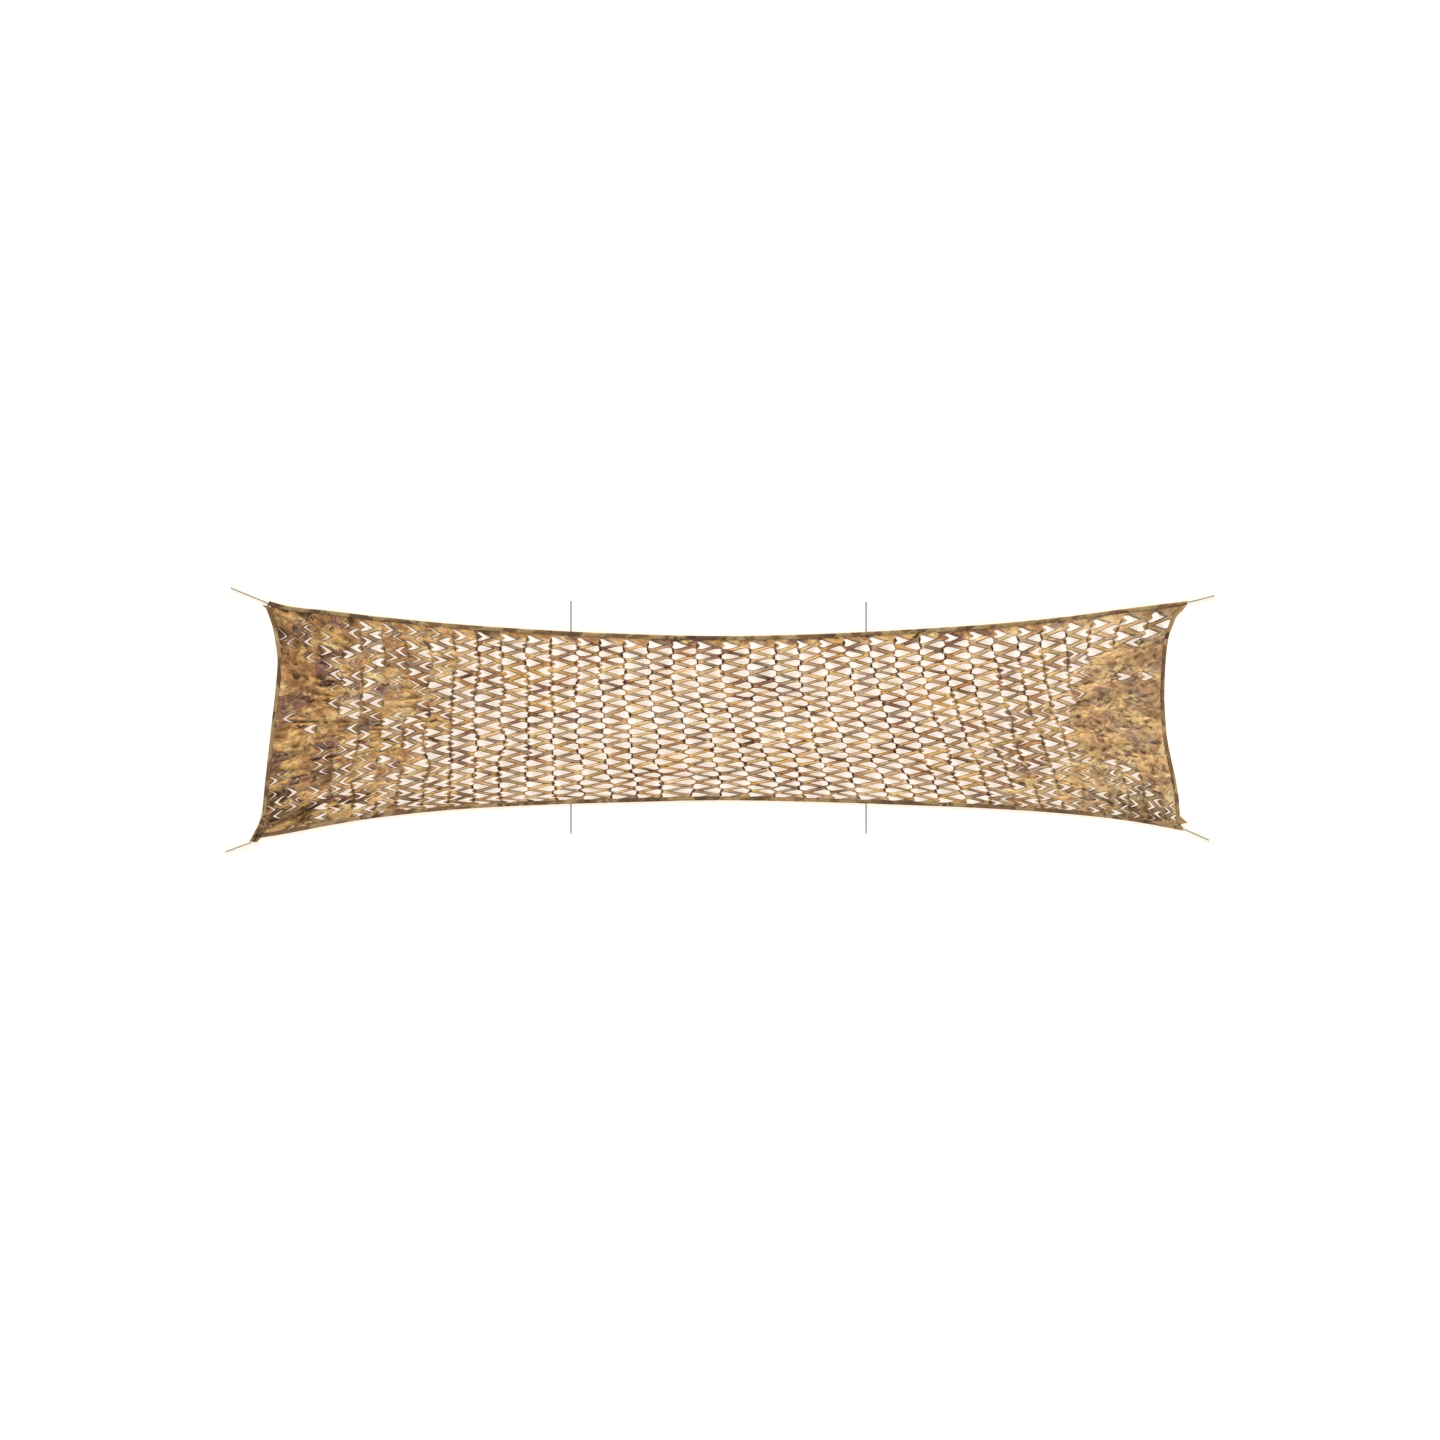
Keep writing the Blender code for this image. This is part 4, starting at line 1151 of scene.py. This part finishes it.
# A folded tape's cross-section: distance in from the fold as a share of its width, and height
TAPE_SECTION = [
    (1.00, 0.0002), (0.55, 0.0000), (0.16, 0.0001), (0.04, 0.0008), (0.00, 0.0019),
    (0.04, 0.0030), (0.16, 0.0037), (0.35, 0.0040), (0.60, 0.0039), (0.78, 0.0035),
    (0.90, 0.0037), (1.00, 0.0034), (0.99, 0.0028), (0.60, 0.0030), (0.16, 0.0028),
    (0.09, 0.0019), (0.16, 0.0010), (0.60, 0.0008), (0.99, 0.0009),
]
RING_STEP = 0.008  # between the rings of points along a short tape
TAPE_RINGS = {"long": 400, "left": 110, "right": 100}  # points along the tapes' lines
UPPER_LAYER = 0.0025  # a tape's upper layer lies above this height
TAPE_WAVE = 0.0004  # height of the small waves on top of a tape
LIP_WAVE = 0.05  # how unevenly its lip runs, as a share of its width
TAPE_GATHER = 0.0018  # how high the left tape's pleats stand
GATHER_RUN = 0.04  # the length over which they grow
STITCH_SHARE = 0.78  # where the stitches run, as a share of the tape's width
STITCH_SPACING = 0.005
STITCH_SIZE = (0.0018, 0.0004, 0.0003)


def folded_tape(name, outer, inner, seed, gathers):
    """A tape folded over an edge, as a closed loft. outer and inner are its fold and its lips."""
    outer, inner = np.array(outer), np.array(inner)
    steps = np.linalg.norm(np.diff(outer, axis=0), axis=1)
    along = np.concatenate([[0.0], np.cumsum(steps)])
    share, height = np.array(TAPE_SECTION).T
    around = np.hypot(np.diff(share) * TAPE_WIDTH, np.diff(height))
    girth = np.concatenate([[0], np.cumsum(around)])
    share, height = share[None], height[None]
    wave = ripple(seed, along[:, None] * 22, share * 2 + 0 * along[:, None])
    lip = 1 + LIP_WAVE * ripple(seed + 1, along * 30, 0 * along)[:, None] * share
    place = outer[:, None, :] + (inner - outer)[:, None, :] * (share * lip)[..., None]
    pleats = np.abs(np.sin(share * 3.3 * math.pi))
    gathered = gathers_at(outer) * (gathers > 0)
    raised = TAPE_WAVE * wave + gathers * gathered * pleats
    height = height + np.where(height > UPPER_LAYER, raised, 0.0)
    points = np.concatenate([place, height[..., None]], axis=2)
    rings, size = points.shape[:2]
    last = (rings - 1) * size
    faces = []
    for i in range(0, last, size):
        for k in range(size):
            after = (k + 1) % size
            faces.append((i + k, i + size + k, i + size + after, i + after))
    faces += [tuple(range(size)), tuple(range(last + size - 1, last - 1, -1))]
    middle = rings // 2
    run, inward = outer[middle + 1] - outer[middle], inner[middle] - outer[middle]
    if run[0] * inward[1] < run[1] * inward[0]:
        faces = [face[::-1] for face in faces]
    mesh = new_mesh(name, points.reshape(-1, 3), faces)
    uv = [np.repeat(along + seed * 0.37, size), np.tile(girth, rings) + seed * 0.21]
    write_uv(mesh, "tape", np.stack(uv, 1))
    # Painted shade between the pleats
    deep_shade = gathered * (1.1 - pleats) * np.ones_like(height)
    write_attribute(mesh, "painted_shade", "FLOAT", np.clip(deep_shade, 0, 1))
    mesh.shade_smooth()
    return new_object(name, mesh)


def gathers_at(outer):
    """Pleats grow towards the tongue at the tape's lower end."""
    return smoothstep((TONGUE_START - outer[:, 1]) / GATHER_RUN)[:, None]


def refine(outer, inner):
    """Adds rings so that none lie farther apart than one step."""
    lines = np.array([outer, inner], float)
    rings = [lines[:, 0]]
    for k, (near, far) in enumerate(zip(outer, outer[1:])):
        parts = max(1, round(math.dist(near, far) / RING_STEP))
        run = lines[:, k + 1] - lines[:, k]
        rings += [lines[:, k] + run * (j / parts) for j in range(1, parts + 1)]
    return np.stack(rings, 1)


def long_tape(line, left_end, right_end):
    """Fold and lip lines of a tape along a long side. Each end is its (outer, inner) points."""
    made = []
    for inset, start, end in zip((0.0, TAPE_WIDTH), left_end, right_end):
        x = start[0] + (end[0] - start[0]) * np.linspace(0, 1, TAPE_RINGS["long"])
        made.append([start, *list(zip(x, line(x, inset)))[1:-1], end])
    return made


def left_tape_line(y, inset):
    """The left tape's inner edge, moved inward by the inset; it widens into the tongue."""
    start = left_line(TONGUE_START, TAPE_WIDTH)
    share = (TONGUE_START - y) / (TONGUE_START - TONGUE_NECK[1])
    widened = start + (TONGUE_NECK[0] - start) * share
    return np.where(y >= TONGUE_START, left_line(y, TAPE_WIDTH), widened) + inset


def tape_lines():
    """The fold and lip lines of the four tapes, by name."""
    insets = (0.0, TAPE_WIDTH)
    past = TAPE_WIDTH + GAP
    top_right_inner = meeting(top_line, TAPE_WIDTH, right_line, 0.0)
    bottom_left = [meeting(bottom_line, inset, left_tape_line, GAP) for inset in insets]
    left_start = LEFT_TAPE_TOP[1] - LEFT_TAIL_LENGTH
    heights = np.linspace(left_start, TONGUE_NECK[1], TAPE_RINGS["left"])
    left_outer = [LEFT_TAPE_TAIL, *zip(left_edge(heights), heights), TONGUE_OUTER]
    left_inner = [LEFT_TAPE_TOP, *zip(left_tape_line(heights, 0.0), heights), TONGUE_INNER]
    right = []
    for inset in insets:
        start = meeting(top_line, past, right_line, inset)
        shares = np.linspace(0, 1, TAPE_RINGS["right"])
        y = start[1] + (RIGHT_TAIL_START - start[1]) * shares
        right.append([*zip(right_line(y, inset), y)])
    low_outer, low_inner = (meeting(bottom_line, past, right_line, inset) for inset in insets)
    tail = [RIGHT_TAPE_TAIL, (low_outer[0], RIGHT_TAPE_TAIL[1] - RIGHT_TAIL_DROP)]
    inside = [(float(right_line(y, TAPE_WIDTH)), y) for y in RIGHT_TAIL_INNER]
    right_lines = [*right[0], *tail, low_outer], [*right[1], *inside, low_inner]
    top_ends = (TOP_LEFT_TIP, TOP_LEFT_NOTCH), (TOP_RIGHT_TIP, top_right_inner)
    return {
        "binding_top": long_tape(top_line, *top_ends),
        "binding_bottom": long_tape(
            bottom_line, bottom_left, (BOTTOM_RIGHT_OUTER, BOTTOM_RIGHT_INNER)
        ),
        "binding_left": refine(left_outer, left_inner),
        "binding_right": refine(*right_lines),
    }


def make_tapes(tape, thread):
    """The four tapes, each with its row of stitches."""
    made = []
    rows = stitch_tree()
    sewing = {"Spacing": STITCH_SPACING, "Stitch Size": STITCH_SIZE, "Thread": thread}
    for seed, (name, (outer, inner)) in enumerate(tape_lines().items(), start=3):
        gathers = TAPE_GATHER if name == "binding_left" else 0.0
        obj = folded_tape(name + "_cloth", outer, inner, seed, gathers)
        obj.data.materials.append(tape)
        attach(obj, "root")
        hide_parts(name)
        folds, lips = np.array(outer[2:-2]), np.array(inner[2:-2])
        places = folds + (lips - folds) * STITCH_SHARE
        line = line_mesh(name + " seam", [(*place, TAPE_HEIGHT) for place in places])
        stitches = grow(name + "_stitches", line, rows, sewing)
        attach(stitches, "root")
        made += [obj, stitches]
    return made


# ---- floor and light


def make_floor():
    corners = [(FLOOR_HALF * x, FLOOR_HALF * y, 0) for x, y in ((-1, -1), (1, -1), (1, 1), (-1, 1))]
    floor = new_object("floor", new_mesh("floor", corners, [(0, 1, 2, 3)]))
    material, _, shader = new_material("white floor", 0.9)
    shader.inputs["Base Color"].default_value = FLOOR_TONE
    shader.inputs["Emission Color"].default_value = FLOOR_GLOW
    shader.inputs["Emission Strength"].default_value = FLOOR_GLOW_STRENGTH
    floor.data.materials.append(material)


# Name, strength, and in degrees the angle it fills and how far it is turned about X and Y
STUDIO_SUNS = [
    ("soft key", 4.8, 20, -70, -16),
    ("soft fill", 3.1, 44, 68, 24),
]


def make_lights():
    world = bpy.data.worlds.new("pale studio")
    bpy.context.scene.world = world
    world.use_nodes = True
    background = world.node_tree.nodes["Background"]
    background.inputs["Color"].default_value = (1.0, 1.0, 1.0, 1.0)
    background.inputs["Strength"].default_value = AMBIENT
    for name, energy, angle, turn_x, turn_y in STUDIO_SUNS:
        data = bpy.data.lights.new(name, "SUN")
        data.energy = energy
        data.angle = math.radians(angle)
        sun = new_object(name, data)
        sun.rotation_euler = (math.radians(turn_x), math.radians(turn_y), 0.0)
    bpy.context.scene.view_settings.view_transform = "Standard"


# ---- the whole

make_camera()
cord_yarn = yarn_material("tie cord yarn", *CORD_YARN)
cord_tree = twisted_cord_tree()
for cord_name, cord_ends in TIE_CORDS.items():
    make_cord(cord_name, cord_route(*cord_ends), cord_tree, cord_yarn)

desert_print = camouflage_group()
plain_weave = weave_group()
net = make_net(cloth_material(desert_print, crease_group(), plain_weave))
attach(net, "root")
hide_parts("net_panel")
sewing_thread = yarn_material("sewing thread", *SEWING_THREAD)
tapes = make_tapes(tape_material(desert_print, plain_weave), sewing_thread)

make_floor()
make_lights()
